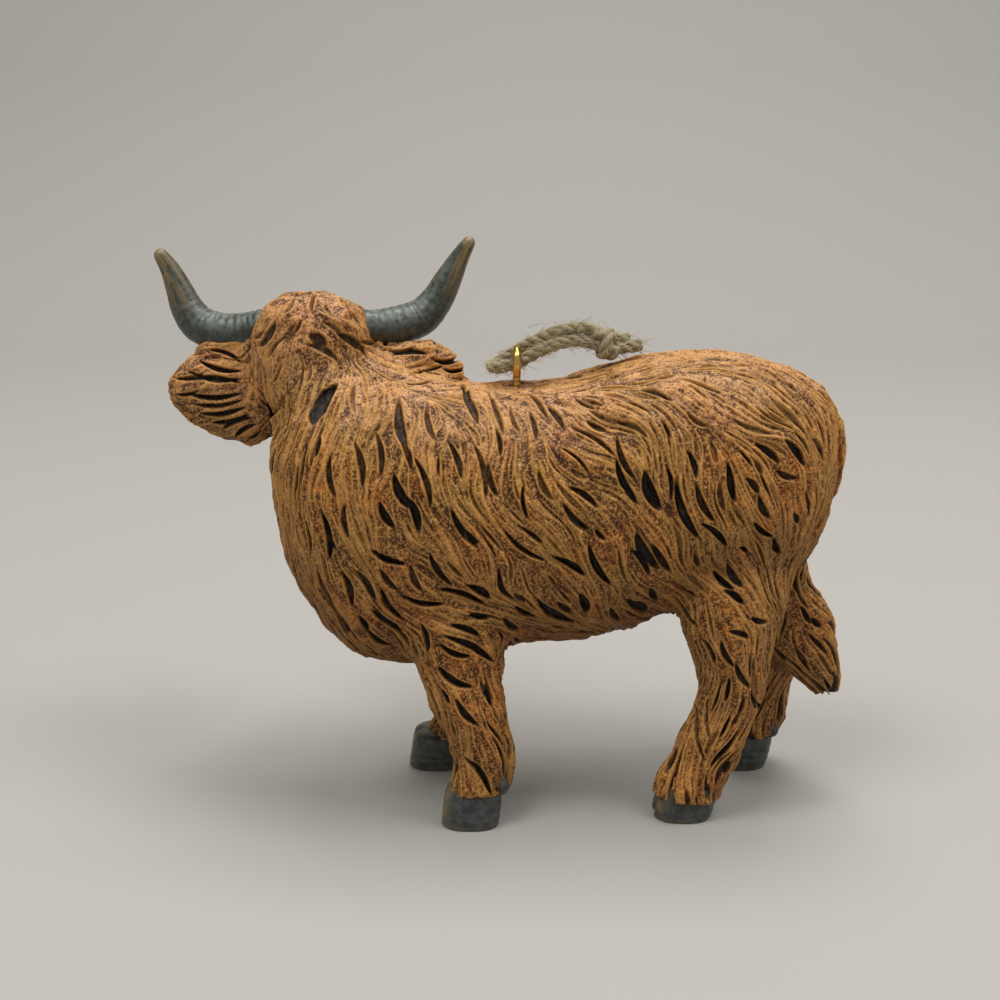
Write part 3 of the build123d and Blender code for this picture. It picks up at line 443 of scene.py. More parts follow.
def form_grid(form, spacing):
    """A form's grid: rows evenly spaced along its outline, columns evenly round it by the oval's own angle."""
    table = form["table"]
    size = table[:, 3:].max(axis=1)
    walked = np.concatenate([[0], np.cumsum(np.hypot(np.diff(table[:, 0]), np.diff(size)))])
    rows = max(8, int(walked[-1] / spacing))
    s = np.interp(np.linspace(0, walked[-1], rows), walked, table[:, 0])
    rough = 2 * np.pi * np.sqrt((table[:, 3] ** 2 + ((table[:, 4] + table[:, 5]) / 2) ** 2) / 2)
    columns = int(np.percentile(rough, 85) / spacing)
    angle = 2 * np.pi * np.arange(columns) / columns
    middle_u, middle_v, half_u, above, below = (np.interp(s, table[:, 0], table[:, i])[:, None] for i in range(1, 6))
    n = form["power"]
    cos, sin = np.cos(angle)[None], np.sin(angle)[None]
    du = half_u * np.sign(cos) * np.abs(cos) ** (2 / n)
    dv = np.where(sin > 0, above, below) * np.sign(sin) * np.abs(sin) ** (2 / n)
    return (form["origin"] + s[:, None, None] * form["along"] + (middle_u + du)[..., None] * form["side"]
            + (middle_v + dv)[..., None] * form["up"]), s


def sunk(points, name, names):
    """How far a form's grid sinks under the coat where another form is nearer: up to 1.4 mm, by a soft step."""
    deepest = 1.4
    own = form_distance(points, forms[name])
    others = np.min([form_distance(points, forms[other]) for other in names if other != name] + [own + 9], axis=0)
    t = np.clip((own - others - 0.02) / 0.7, 0, 1)
    return deepest * t * t * (3 - 2 * t)


# Each form's skin on a coarse grid, in layers: the point, its normal and the hair's run there, how far it sinks
# under the next form, and the field's value. With it go the rows' places along the form.
coarse = 0.76
skins = {}
for name, form in forms.items():
    grid, places = form_grid(form, coarse)
    flat = grid.reshape(-1, 3)
    names = near_forms(flat)
    points, normals = settle(flat, names)
    layers = np.column_stack([points, normals, hair_way(points, normals), sunk(points, name, names),
                              coat_field(points, names)])
    skins[name] = layers.reshape(*grid.shape[:2], -1), places

# Strokes all over the coat, from starts spread one to a cell. Gouges: length 2.5 to 8 mm, width 0.3 to 1.26 mm,
# fainter above 58 mm, stronger below 46 mm and faint next to the seen ones. Ridges: length 5 to 13 mm, width
# 0.26 to 0.46 mm. All of them, the seen ones too, are then widened by a tenth.
shown = np.concatenate([layers[(layers[..., 9] < 0.1) & (np.abs(layers[..., 10]) < 0.1), :3]
                        for layers, _ in skins.values()])
shown = shown[random.permutation(len(shown))]


def spread(points, cell):
    """The first point in each cell of a lattice."""
    _, first = np.unique(np.floor(points / cell).astype(int), axis=0, return_index=True)
    return points[first]


def march(starts, lengths):
    """Strokes grown from their starts along the hair, each step laid back on to the coat."""
    names = all_names
    points, normals = settle(starts, names, 1)
    strokes = [points]
    for _ in range(stroke_points - 1):
        points = points + hair_way(points, normals) * (lengths / (stroke_points - 1))[:, None]
        points, normals = settle(points, names, 1)
        strokes.append(points)
    return np.stack(strokes, axis=1)


seen_points = np.concatenate(line_sides)[:, ::2].reshape(-1, 3)


def clear_of_seen(points, gap):
    """Which points are farther than a gap from every seen gouge."""
    square = (points ** 2).sum(axis=1)[:, None] + (seen_points ** 2).sum(axis=1)[None] - 2 * points @ seen_points.T
    return square.min(axis=1) > gap ** 2


gouge_cell, ridge_cell, ridge_shift = 2.7, 1.65, 0.7
start_gap, faint_gap, faintness = 1.3, 1.0, 0.25
gouge_starts = spread(shown, gouge_cell)
gouge_starts = gouge_starts[clear_of_seen(gouge_starts, start_gap)]
ridge_starts = spread(shown[::-1] + ridge_shift, ridge_cell) - ridge_shift
count = len(gouge_starts)
back_top = np.clip((gouge_starts[:, 2] - 58) / 10, 0, 1)
low_down = np.clip((46 - gouge_starts[:, 2]) / 14, 0, 1)
strengths = np.clip(random.beta(1.5, 2.2, count) * (1 - 0.5 * back_top) + 0.3 * low_down, 0.12, 1)
gouge_lengths = random.uniform(2.5, 8.0, count)
gouge_widths = 0.3 + 0.6 * random.random(count) ** 2 * (0.6 + strengths)
ridge_lengths = random.uniform(5, 13, len(ridge_starts))
gouges = march(gouge_starts, gouge_lengths)
alone = [clear_of_seen(gouges[:, stroke_points * quarters // 4], faint_gap) for quarters in (2, 3)]
strengths *= np.where(alone[0] & alone[1], 1, faintness)
strokes = np.concatenate([*line_sides, gouges, march(ridge_starts, ridge_lengths)]).astype(np.float32)
stroke_width = np.concatenate([seen[:, 4], seen[~on_face, 4], gouge_widths,
                               random.uniform(0.26, 0.46, len(ridge_starts))])
widening = 1.1
stroke_width = stroke_width / 2 * widening
stroke_strength = np.concatenate([seen[:, 5], seen[~on_face, 5], strengths,
                                  random.uniform(0.4, 1, len(ridge_starts))])
is_ridge = np.arange(len(strokes)) >= len(strokes) - len(ridge_starts)


def denser(grid, steps):
    """A rows x columns x n grid with steps times as many rows and columns, read off cubics; columns wrap round."""
    rows, columns, depth = grid.shape
    tall = smooth_rows(np.column_stack([np.arange(rows), grid.reshape(rows, -1)]), (rows - 1) * steps + 1)[:, 1:]
    tall = tall.reshape(-1, columns, depth)
    wrapped = np.concatenate([tall[:, -2:], tall, tall[:, :3]], axis=1).swapaxes(0, 1).reshape(columns + 5, -1)
    wide = smooth_rows(np.column_stack([np.arange(columns + 5), wrapped]), (columns + 4) * steps + 1)[:, 1:]
    return wide.reshape(-1, len(tall), depth).swapaxes(0, 1)[:, 2 * steps:(columns + 2) * steps]


def carve(points, places, form):
    """What the strokes do to a grid of skin points: depth cut away, height raised, and how dark and how light
    each point is. A gouge is a leaf, its half width w sin(pi t^1.15)^0.8 at t along it, with a rim on both
    sides; a ridge is a soft line."""
    rows, columns, _ = points.shape
    touching, rim_reach, slack = 1.6, 0.6, 0.8
    ridge_rise, least_depth, more_depth, wall, rim_width, rim_rise = 0.24, 0.18, 0.62, 0.3, 0.17, 0.2
    ring = np.linalg.norm(np.roll(points, -1, axis=1) - points, axis=2).mean(axis=1)
    step = np.linalg.norm(np.diff(points, axis=0), axis=2).mean()
    cut, raised, dark, light = (np.zeros((rows, columns), np.float32) for _ in range(4))
    flat = strokes.reshape(-1, 3).astype(float)
    _, s, du, dv, half_u, half_v = oval_coordinates(flat, form)
    own = form_distance(flat, form).reshape(len(strokes), -1)
    n = form["power"]
    u, v = du / half_u, dv / half_v
    angle = np.arctan2(np.sign(v) * np.abs(v) ** (n / 2), np.sign(u) * np.abs(u) ** (n / 2))
    angle = np.unwrap(angle.reshape(len(strokes), -1), axis=1) / (2 * np.pi) * columns
    row = np.interp(s, places, np.arange(rows)).reshape(len(strokes), -1)
    for k in np.flatnonzero(own.min(axis=1) < touching):
        width, strength = stroke_width[k], stroke_strength[k]
        reach = width + rim_reach
        pad = int((reach + slack) / step) + 1
        top, bottom = max(0, int(row[k].min()) - pad), min(rows, int(row[k].max()) + pad + 1)
        pad = int((reach + slack) / max(ring[top:bottom].min(), 0.02)) + 1
        first, last = int(angle[k].min()) - pad, int(angle[k].max()) + pad
        across = np.arange(first, min(last, first + columns - 1) + 1) % columns
        window = points[top:bottom, across]
        inside = ((window > strokes[k].min(axis=0) - reach) & (window < strokes[k].max(axis=0) + reach)).all(axis=2)
        if not inside.any():
            continue
        near = window[inside]
        rel = near[:, None] - strokes[k, None, :-1]
        ab = np.diff(strokes[k], axis=0)
        t = np.clip((rel * ab).sum(axis=2) / np.maximum((ab ** 2).sum(axis=1), 1e-6), 0, 1)
        gap = ((rel - t[..., None] * ab) ** 2).sum(axis=2)
        best = gap.argmin(axis=1)
        pick = np.arange(len(near))
        distance = np.sqrt(gap[pick, best])
        along = (best + t[pick, best]) / (stroke_points - 1)
        swell = np.sin(np.pi * along ** 1.15).clip(0) ** 0.8
        where = tuple(index[inside] for index in np.meshgrid(np.arange(top, bottom), across, indexing="ij"))
        if is_ridge[k]:
            line = np.exp(-(distance / width) ** 2) * swell
            raised[where] = np.maximum(raised[where], ridge_rise * strength * line)
            light[where] = np.maximum(light[where], strength * line)
        else:
            t = np.clip((width * swell - distance) / wall + 0.4, 0, 1)
            bowl = t * t * (3 - 2 * t) * np.minimum(swell * 2, 1)
            rim = np.exp(-((distance - width * swell - rim_width) / rim_width) ** 2) * np.minimum(swell * 1.6, 1)
            cut[where] = np.maximum(cut[where], (least_depth + more_depth * strength) * bowl)
            dark[where] = np.maximum(dark[where], strength * bowl)
            raised[where] = np.maximum(raised[where], rim_rise * (0.4 + 0.6 * strength) * rim)
            light[where] = np.maximum(light[where], 0.9 * rim)
    return cut, raised, dark, light


def put_mesh(name, grids, material, body, replaces, values=None, cut_ends=(False, False), normals=None):
    """A mesh from one grid or a list of grids of rows x columns points, each wrapped round its columns and closed
    at both ends on a pole at the middle of its row, in the row frame. Values are stored as point attributes; a
    cut end is flat shaded, and given normals keep the shading even across it."""
    values = values or {}
    if not isinstance(grids, list):
        grids, values = [grids], {key: [value] for key, value in values.items()}
    co, quads, tris, flat_ends = [], [], [], []
    start = 0
    for points in grids:
        rows, columns, _ = points.shape
        index = start + np.arange(rows * columns).reshape(rows, columns)
        right = np.roll(index, -1, axis=1)
        pole = start + rows * columns
        own = np.concatenate([points.reshape(-1, 3), points[0].mean(axis=0)[None], points[-1].mean(axis=0)[None]])
        four = np.stack([index[:-1], right[:-1], right[1:], index[1:]], axis=-1).reshape(-1, 4)
        three = np.concatenate([np.stack([np.full(columns, pole), right[0], index[0]], axis=-1),
                                np.stack([np.full(columns, pole + 1), index[-1], right[-1]], axis=-1)])
        a, b, c, d = (own[four[:, i] - start] - own[0] for i in range(4))
        if (np.cross(b - a, c - a) * a).sum() + (np.cross(c - a, d - a) * a).sum() < 0:
            four, three = four[:, ::-1], three[:, ::-1]
        co.append(own)
        quads.append(four)
        tris.append(three)
        flat_ends += [np.full(columns, cut_ends[0]), np.full(columns, cut_ends[1])]
        start = pole + 2
    co, quads, tris = np.concatenate(co), np.concatenate(quads), np.concatenate(tris)
    mesh = bpy.data.meshes.new(name)
    mesh.vertices.add(len(co))
    mesh.vertices.foreach_set("co", ((co + row_shift) / 1000).astype(np.float32).ravel())
    mesh.loops.add(quads.size + tris.size)
    mesh.loops.foreach_set("vertex_index", np.concatenate([quads.ravel(), tris.ravel()]).astype(np.int32))
    mesh.polygons.add(len(quads) + len(tris))
    starts = np.concatenate([np.arange(len(quads)) * 4, quads.size + np.arange(len(tris)) * 3])
    mesh.polygons.foreach_set("loop_start", starts.astype(np.int32))
    mesh.update(calc_edges=True)
    mesh.shade_smooth()
    mesh.polygons.foreach_set("use_smooth", ~np.concatenate([np.zeros(len(quads), bool)] + flat_ends))
    if normals is not None:
        ends = [normals[0].mean(axis=0)[None], normals[-1].mean(axis=0)[None]]
        mesh.normals_split_custom_set_from_vertices(np.concatenate([normals.reshape(-1, 3)] + ends).tolist())
    for key, parts in values.items():
        flat = [np.concatenate([value.ravel(), [value[0].mean(), value[-1].mean()]]) for value in parts]
        attribute = mesh.attributes.new(key, "FLOAT", "POINT")
        attribute.data.foreach_set("value", np.concatenate(flat).astype(np.float32))
    mesh.materials.append(material)
    piece = bpy.data.objects.new(name, mesh)
    bpy.context.scene.collection.objects.link(piece)
    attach(piece, body)
    if replaces:
        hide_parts(*replaces)
    return piece


def linear(colour):
    """A #rrggbb sRGB colour as linear red, green, blue and alpha."""
    parts = [int(colour[i:i + 2], 16) / 255 for i in (1, 3, 5)]
    return [p / 12.92 if p <= 0.04045 else ((p + 0.055) / 1.055) ** 2.4 for p in parts] + [1.0]


def add_node(tree, kind, settings=None, inputs=None):
    """A node with its settings, and its inputs set to values or linked from sockets."""
    node = tree.nodes.new(kind)
    for key, value in (settings or {}).items():
        setattr(node, key, value)
    for key, value in (inputs or {}).items():
        socket = node.inputs[key]
        if isinstance(value, bpy.types.NodeSocket):
            tree.links.new(value, socket)
        else:
            socket.default_value = value
    return node


def cover(tree, values, ramps):
    """How far a layer of paint covers: the product of its ramps, each a value's name, the two ends it goes
    between and the share at each end."""
    share = None
    for key, low, high, least, most in ramps:
        ramp = add_node(tree, "ShaderNodeMapRange", {"clamp": True},
                        {"Value": values[key], "From Min": low, "From Max": high, "To Min": least, "To Max": most})
        share = ramp.outputs["Result"] if share is None else add_node(
            tree, "ShaderNodeMath", {"operation": "MULTIPLY"}, {0: share, 1: ramp.outputs["Result"]}).outputs["Value"]
    return share


def brushed(name, attributes, noises, base, layers, relief=None, **others):
    """A material whose colour is a base with layers brushed over it, each a colour and the ramps that say how far
    it covers. A ramp reads a mesh attribute or a noise, which has the size of its features in mm and a detail
    and lies round 0.5. The relief is a noise's name, a strength and a depth in metres. The other inputs of the
    shader are constants or a ramp."""
    material = bpy.data.materials.new(name)
    material.use_nodes = True
    tree = material.node_tree
    shader = tree.nodes["Principled BSDF"]
    values = {key: add_node(tree, "ShaderNodeAttribute", {"attribute_name": key}).outputs["Fac"]
              for key in attributes}
    for key, (size_mm, detail) in noises.items():
        place = add_node(tree, "ShaderNodeTexCoord").outputs["Object"]
        values[key] = add_node(tree, "ShaderNodeTexNoise", {"noise_dimensions": "3D"},
                               {"Vector": place, "Scale": 1000 / size_mm / 2, "Detail": detail,
                                "Roughness": 0.6}).outputs["Fac"]
    paint = linear(base)
    for colour, *ramps in layers:
        paint = add_node(tree, "ShaderNodeMix", {"data_type": "RGBA", "clamp_factor": True},
                         {"Factor": cover(tree, values, ramps), "A": paint, "B": linear(colour)}).outputs["Result"]
    if layers:
        tree.links.new(paint, shader.inputs["Base Color"])
    else:
        shader.inputs["Base Color"].default_value = paint
    if relief:
        key, strength, depth = relief
        bump = add_node(tree, "ShaderNodeBump", {},
                        {"Strength": strength, "Distance": depth, "Height": values[key]})
        tree.links.new(bump.outputs["Normal"], shader.inputs["Normal"])
    for key, value in others.items():
        socket = shader.inputs[key.replace("_", " ")]
        if isinstance(value, tuple):
            tree.links.new(cover(tree, values, [value]), socket)
        else:
            socket.default_value = value
    return material


# Brushed acrylic over cast polyester resin: ochre and chestnut washes, a dark wash left in the gouges and a
# dry-brushed cream on the ridges, under a satin varnish. The eye sees a warm mottled coat with black gouges.
# Painted into the colour as well: a pale painted highlight on what faces up, and painted shade on what faces down low
# on the body.
coat_values = ("dark", "light", "strand", "lock", "top", "painted_shade_below", "bare")
coat_paint = brushed(
    "brushed_acrylic_coat", coat_values,
    {"patches": (7.0, 3), "dullness": (4.0, 2), "dusting": (5.0, 2), "speckle": (0.5, 3), "grain": (1.0, 4),
     "stipple": (0.17, 2), "pores": (0.3, 4)},
    "#76440d",
    [("#a5510f", ("patches", 0.38, 0.62, 0, 1)),
     ("#876623", ("dullness", 0.5, 0.64, 0, 0.85)),
     # Painted highlight: pale cream on what faces up high on the body, mottled by a noise
     ("#dba67d", ("top", 0, 1, 0, 1), ("dusting", 0.3, 0.6, 0.6, 1)),
     ("#b7742c", ("lock", 0.2, 2.0, 0, 0.55)),
     ("#472508", ("lock", -0.1, -1.8, 0, 0.75)),
     ("#3d1f08", ("strand", -0.1, -1.6, 0, 0.8)),
     ("#cb9145", ("strand", 0.5, 2.0, 0, 0.5)),
     ("#4e290b", ("grain", 0.5, 0.64, 0, 0.7)),
     ("#3b1f09", ("speckle", 0.51, 0.62, 0, 0.75)),
     ("#d29e58", ("speckle", 0.45, 0.34, 0, 0.45)),
     ("#3b1e09", ("stipple", 0.51, 0.62, 0, 0.62)),
     ("#dfaa6a", ("stipple", 0.47, 0.37, 0, 0.55)),
     ("#d39c54", ("light", 0.3, 0.85, 0, 0.7)),
     # Painted shade: dark brown on what faces down low on the body, deepest at the belly
     ("#402008", ("painted_shade_below", 0, 1, 0, 0.6)),
     ("#6e4636", ("bare", 0, 1, 0, 1)),
     ("#2a1405", ("dark", 0.06, 0.4, 0, 1), ("speckle", 0.36, 0.6, 1, 0.6)),
     ("#0d0704", ("dark", 0.4, 0.75, 0, 1), ("speckle", 0.5, 0.64, 1, 0.72))],
    ("pores", 0.8, 0.00018), Roughness=("speckle", 0.3, 0.7, 0.42, 0.6), Specular_IOR_Level=0.22)

# The coat's pieces: which node each replaces, and into how many lengths its grid is cut. The torso and the neck
# are cut because one piece may not have too many faces.
coat_pieces = {"torso": ("torso", 4), "brisket": ("torso", 1), "neck": ("neck", 2)}
coat_pieces |= {name: ("head", 1) for name in ("head", "tuft", "fringe", "web_left")}
coat_pieces |= {name: (name, 1) for name in ("ear_left", "ear_right", *stance, "tail")}
coat_pieces |= {f"lock_{k}": ("head", 1) for k in range(len(fringe_locks))}
finer = 4
muzzle_start, nostril_place, nostril_size = 28.5, (34.4, 1.5, 3.1), (1.3, 0.75, 1.1)
mouth_start, mouth_height, mouth_size = 26, -1.9, 0.25
strand_cell, strand_reach, strand_height = 0.42, 1.8, 0.055
lock_cell, lock_reach, lock_height = 1.9, 4.5, 0.19
buried_depth = -0.5
for name, (node, lengths) in coat_pieces.items():
    layers, places = skins[name]
    fine = denser(layers, finer)
    points, normals, way, sink, depth = fine[..., :3], fine[..., 3:6], fine[..., 6:9], fine[..., 9], fine[..., 10]
    rows, columns = points.shape[:2]
    normals = unit(normals)
    places = np.interp(np.linspace(0, len(places) - 1, rows), np.arange(len(places)), places)
    flat, flat_way = points.reshape(-1, 3), way.reshape(-1, 3)
    strand = combed(flat, flat_way, strand_cell, strand_reach, strand_lattice).reshape(rows, columns)
    lock = combed(flat, flat_way, lock_cell, lock_reach, lock_lattice).reshape(rows, columns)
    cut, raised, dark, light = carve(points.astype(np.float32), places, forms[name])
    bare = np.zeros((rows, columns))
    if name == "head":
        # The bare muzzle: two nostrils and a mouth are pressed into it, at places ahead of, over and beside the nape
        ahead, over = (points - nape) @ muzzle_way, (points - nape) @ head_up
        aside = np.abs(points[..., 0] - nape[0])
        bare = np.clip((ahead - muzzle_start) / 2.5, 0, 1)
        nostril = np.exp(-sum(((value - middle) / size) ** 2 for value, middle, size
                              in zip((ahead, over, aside), nostril_place, nostril_size)))
        mouth = np.clip((ahead - mouth_start) / 2, 0, 1) * np.exp(-((over - mouth_height) / mouth_size) ** 2)
        cut = cut * (1 - bare) + 0.9 * nostril + 0.4 * mouth
        dark = np.maximum(dark * (1 - bare), np.maximum(nostril, 0.5 * mouth))
        raised, light = raised * (1 - bare), light * (1 - bare)
    hair = strand_height * strand + lock_height * lock + raised * (1 - np.minimum(cut * 2, 1))
    height = np.where(depth < buried_depth, 0, hair * (1 - 0.9 * bare) - cut) - sink
    surface = points + normals * height[..., None]
    # The pale painted highlight lies on what looks up above 55 mm, and all over the poll and the near ear, where it
    # is also their paler tone; the painted shade on what looks down or sideways below 58 mm, deepest at the belly
    top = np.clip((normals[..., 2] - 0.12) / 0.6, 0, 1) * np.clip((points[..., 2] - 55) / 9, 0, 1)
    if node in ("head", "ear_left"):
        top = np.maximum(top, 0.62 * np.clip((normals[..., 2] + 0.6) / 0.6, 0, 1))
    painted_shade_below = np.clip(0.25 - normals[..., 2], 0, 1) * np.clip((58 - points[..., 2]) / 14, 0, 1)
    paints = dict(zip(coat_values, (dark, light, strand, lock, top, painted_shade_below, bare)))
    across = np.roll(surface, -1, axis=1) - np.roll(surface, 1, axis=1)
    facing = np.cross(np.gradient(surface, axis=0), across)
    facing = unit(facing * np.sign((facing * normals).sum(axis=2))[..., None])
    cuts = np.linspace(0, rows - 1, lengths + 1).astype(int)
    for i in range(lengths):
        part = slice(cuts[i], cuts[i + 1] + 1)
        put_mesh(f"{name}_coat_{i}" if lengths > 1 else name + "_coat", surface[part], coat_paint, "figurine",
                 (node,), {key: value[part] for key, value in paints.items()}, (i > 0, i < lengths - 1),
                 facing[part] if lengths > 1 else None)


# Horns, cast with the head and painted apart. Each is a round tube along a curve through read-off points (X, Y,
# Z and diameter), with growth rings that fade towards a blunt tip.
horn_lines = {
    "left": [(-30.5, 6.2, 74.0, 4.2), (-34.95, 6.6, 73.5, 4.5), (-37.6, 7.2, 72.6, 5.0), (-40.5, 7.9, 71.9, 5.5),
             (-43.4, 8.6, 71.9, 5.8), (-46.1, 9.2, 72.9, 5.7), (-47.9, 9.6, 75.2, 5.0), (-49.0, 9.8, 78.0, 4.1),
             (-50.3, 9.8, 81.2, 3.0), (-51.3, 9.5, 83.0, 2.3), (-52.0, 9.3, 84.2, 1.7)],
    "right": [(-26.0, 6.2, 73.2, 4.4), (-22.0, 6.6, 72.9, 5.0), (-18.8, 7.2, 72.6, 5.5), (-15.4, 8.2, 72.9, 5.8),
              (-12.1, 9.2, 74.0, 5.7), (-9.7, 9.7, 76.5, 4.9), (-8.0, 9.8, 79.5, 4.2), (-6.1, 9.7, 83.0, 2.9),
              (-5.0, 9.4, 84.8, 2.2), (-4.2, 9.3, 86.0, 1.6)]}
# Painted horn: the same resin brushed a dark grey-green, with a paler speckled painted highlight over the top of
# each horn, and tan at the tips. Satin, so it has a broad soft highlight.
horn_paint = brushed(
    "satin_paint_horn", ("along", "painted_highlight_up", "streak"), {"fleck": (0.5, 3), "pores": (0.35, 3)}, "#2b2f2c",
    [("#434843", ("fleck", 0.4, 0.62, 0, 1)),
     # Painted highlight: a paler speckled grey-green on what faces up
     ("#6d7469", ("painted_highlight_up", -0.1, 0.8, 0, 1), ("fleck", 0.42, 0.6, 0.25, 1)),
     ("#8c7448", ("along", 0.6, 0.93, 0, 1), ("streak", -0.6, 0.7, 0, 1)),
     ("#9c8561", ("along", 0.95, 1.0, 0, 0.6)),
     ("#1d1f1d", ("streak", 0.9, 1.9, 0, 0.6))],
    ("pores", 0.4, 0.0001), Roughness=0.4)


def round_angles(count):
    """Angles spread evenly over one turn."""
    return 2 * np.pi * np.arange(count) / count


def square_to(line_points, reference):
    """Two unit directions square to a line's run at each point, the first also square to the reference."""
    run = unit(np.gradient(line_points, axis=0))
    side = unit(np.cross(run, reference))
    return side, np.cross(run, side)


def tube(centre, radius, reference, columns):
    """A tube's points: rows of rounds square to the curve's run, turned from the reference direction."""
    side, other = square_to(centre, reference)
    angle = round_angles(columns)
    out = np.cos(angle)[None, :, None] * side[:, None] + np.sin(angle)[None, :, None] * other[:, None]
    return centre[:, None] + out * radius[..., None], out


def length_along(points):
    """Distance walked along a row of points."""
    return np.concatenate([[0], np.cumsum(np.linalg.norm(np.diff(points, axis=0), axis=1))])


horn_rows, horn_columns = 200, 56
ring_spacing, ring_height = 1.25, 0.045
groove_count, groove_depth = 7, 0.03
for side, line_points in horn_lines.items():
    given = np.array(line_points)
    walk = length_along(given[:, :3])
    rows = smooth_rows(np.column_stack([walk, given]), horn_rows)
    s, centre, radius = rows[:, 0], rows[:, 1:4], rows[:, 4] / 2
    left = walk[-1] + 0.05 - s
    blunt = given[-1, 3] / 2
    radius = radius * np.sqrt(1 - np.clip(1 - left / blunt, 0, 0.999) ** 2)
    fade = np.clip(1.3 - s / walk[-1] * 1.5, 0, 1)
    wave = np.sin(2 * np.pi * s / ring_spacing + 1.4 * np.sin(s * 0.9))
    grooves = np.sin(groove_count * round_angles(horn_columns) + 0.3 * s[:, None])
    relief = (ring_height * fade * wave)[:, None] + groove_depth * grooves * fade[:, None]
    points, out = tube(centre, radius[:, None] + relief, np.array([0, 1.0, 0]), horn_columns)
    streaks = lattice_values((out * 2.6 + (s * 0.12)[:, None, None] * np.array([1, 0, 0])).reshape(-1, 3), 0.5,
                             strand_lattice).reshape(len(s), horn_columns)
    # The painted highlight follows how far each point faces up
    paints = {"along": np.repeat((s / walk[-1])[:, None], horn_columns, axis=1), "painted_highlight_up": out[..., 2],
              "streak": streaks}
    put_mesh("horn_" + side + "_skin", points, horn_paint, "figurine", ("horn_" + side,), paints)


# Hooves, four, each a cleft oval of painted resin under the coat's hem, with two dewclaws behind the fetlock.
# Painted hoof: charcoal with a paler fleck, rubbed to tan at the toe and the rim. Satin like the horns.
hoof_paint = brushed(
    "satin_paint_hoof", ("worn",), {"fleck": (0.6, 3), "rub": (0.9, 3), "pores": (0.5, 3)}, "#2c302f",
    [("#474b49", ("fleck", 0.38, 0.62, 0, 1)), ("#7b6a45", ("worn", 0, 1, 0, 1), ("rub", 0.4, 0.6, 0.3, 1))],
    ("pores", 0.5, 0.00012), Roughness=0.38)
# A hoof's profile from the middle of its sole to the middle of its hidden top. Rows: place along it, height and
# share of the hoof's size
hoof_profile = [(0.0, 0.0, 0.05), (1.0, 0.0, 0.5), (2.0, 0.0, 0.9), (2.4, 0.18, 0.965), (3.0, 0.7, 0.995),
                (4.4, 2.0, 1.0), (6.0, 3.8, 0.985), (7.2, 5.0, 0.955), (7.8, 5.6, 0.9), (8.4, 6.0, 0.7),
                (9.0, 6.1, 0.05)]
half_length, half_width, corner_power = 4.65, 4.3, 0.8
cleft_depth, cleft_width = 0.24, 0.16
hoof_rows, hoof_columns = 90, 120
claw_out, claw_height = 2.1, 6.7


def ball(rows, columns, pole):
    """A unit ball's points, in rows from near one pole to near the other on Z."""
    latitude = np.linspace(pole, np.pi - pole, rows)[:, None]
    longitude = round_angles(columns)
    return np.stack([np.sin(latitude) * np.cos(longitude), np.sin(latitude) * np.sin(longitude),
                     np.repeat(np.cos(latitude), columns, axis=1)], axis=2)


profile = smooth_rows(hoof_profile, hoof_rows)
height, scale = np.maximum(profile[:, 1], 0)[:, None], np.clip(profile[:, 2], 0.03, 1)[:, None]
angle = round_angles(hoof_columns)
from_toe = np.abs(angle - np.pi)
cleft = np.exp(-(from_toe / cleft_width) ** 2) + 0.5 * np.exp(-((np.pi - from_toe) / 0.3) ** 2)
growth = 1 + 0.006 * np.sin(height * 5.2)
ring = scale * (1 - cleft_depth * cleft * np.clip(height / 0.3, 0.3, 1)) * growth
out_x = np.sign(np.cos(angle)) * np.abs(np.cos(angle)) ** corner_power * half_length * ring
out_y = np.sign(np.sin(angle)) * np.abs(np.sin(angle)) ** corner_power * half_width * ring
worn = np.exp(-((from_toe - 0.42) / 0.35) ** 2) * np.clip(height / 1.5, 0.2, 1) + np.exp(-(height / 0.6) ** 2) * 0.5
dewclaw = ball(14, 20, 0.04) * (1.0, 0.95, 1.5)
for name, (x, y, _) in stance.items():
    # How far the sole lies behind the leg's foot, how far the top lies behind the sole, and where the dewclaws are
    sole, seat, claw_x = (-0.7, 0.7, 4.2) if name.startswith("fore") else (0.0, 1.3, 5.25)
    points = np.stack([x + sole + seat * height / hoof_height + out_x, y + out_y,
                       np.repeat(height, hoof_columns, axis=1)], axis=2)
    hoof_name = name.replace("leg", "hoof")
    put_mesh(hoof_name + "_skin", points, hoof_paint, "figurine", (hoof_name,), {"worn": worn})
    for k, side in enumerate((-1, 1)):
        put_mesh(f"{name.replace('leg', 'dewclaw')}_{k}", dewclaw + (x + claw_x, y + side * claw_out, claw_height),
                 hoof_paint, "figurine", (), {"worn": np.zeros(dewclaw.shape[:2])})


# Eyes: glossy black drops of enamel set in the cheeks, each in a rolled lid of the coat's resin. The eye sees a
# small sharp highlight on black.
eye_enamel = brushed("gloss_enamel_eye", (), {}, "#0d0a09", [], Roughness=0.08)
# The eyes' place, as shares of the head's length, height and width
eye_ahead, eye_over, eye_aside = 0.47, 0.14, 0.36
eye_radius, lid_radius, lid_out, lid_half_length, lid_half_height = 1.5, 0.42, 1.05, 1.75, 1.15
turn = 2 * np.pi * np.arange(61) / 60
for k, side in enumerate((-1, 1)):
    centre = (nape + muzzle_way * (eye_ahead * head_length) + head_up * (eye_over * head_height)
              + np.array([side * eye_aside * head_width, 0, 0]))
    put_mesh(f"eye_ball_{k}", centre + ball(24, 36, 0.03)[..., [2, 0, 1]] * eye_radius, eye_enamel, "figurine", ())
    loop = (centre + np.array([side * lid_out, 0, 0]) + muzzle_way * (lid_half_length * np.cos(turn))[:, None]
            + head_up * (lid_half_height * np.sin(turn))[:, None])
    lid, _ = tube(loop, np.full((len(turn), 1), lid_radius), np.array([side * 1.0, 0, 0]), 16)
    put_mesh(f"eye_lid_{k}", lid, coat_paint, "figurine", (),
             {key: np.full(lid.shape[:2], {"dark": 0.2, "bare": 0.5}.get(key, 0.0)) for key in coat_values})


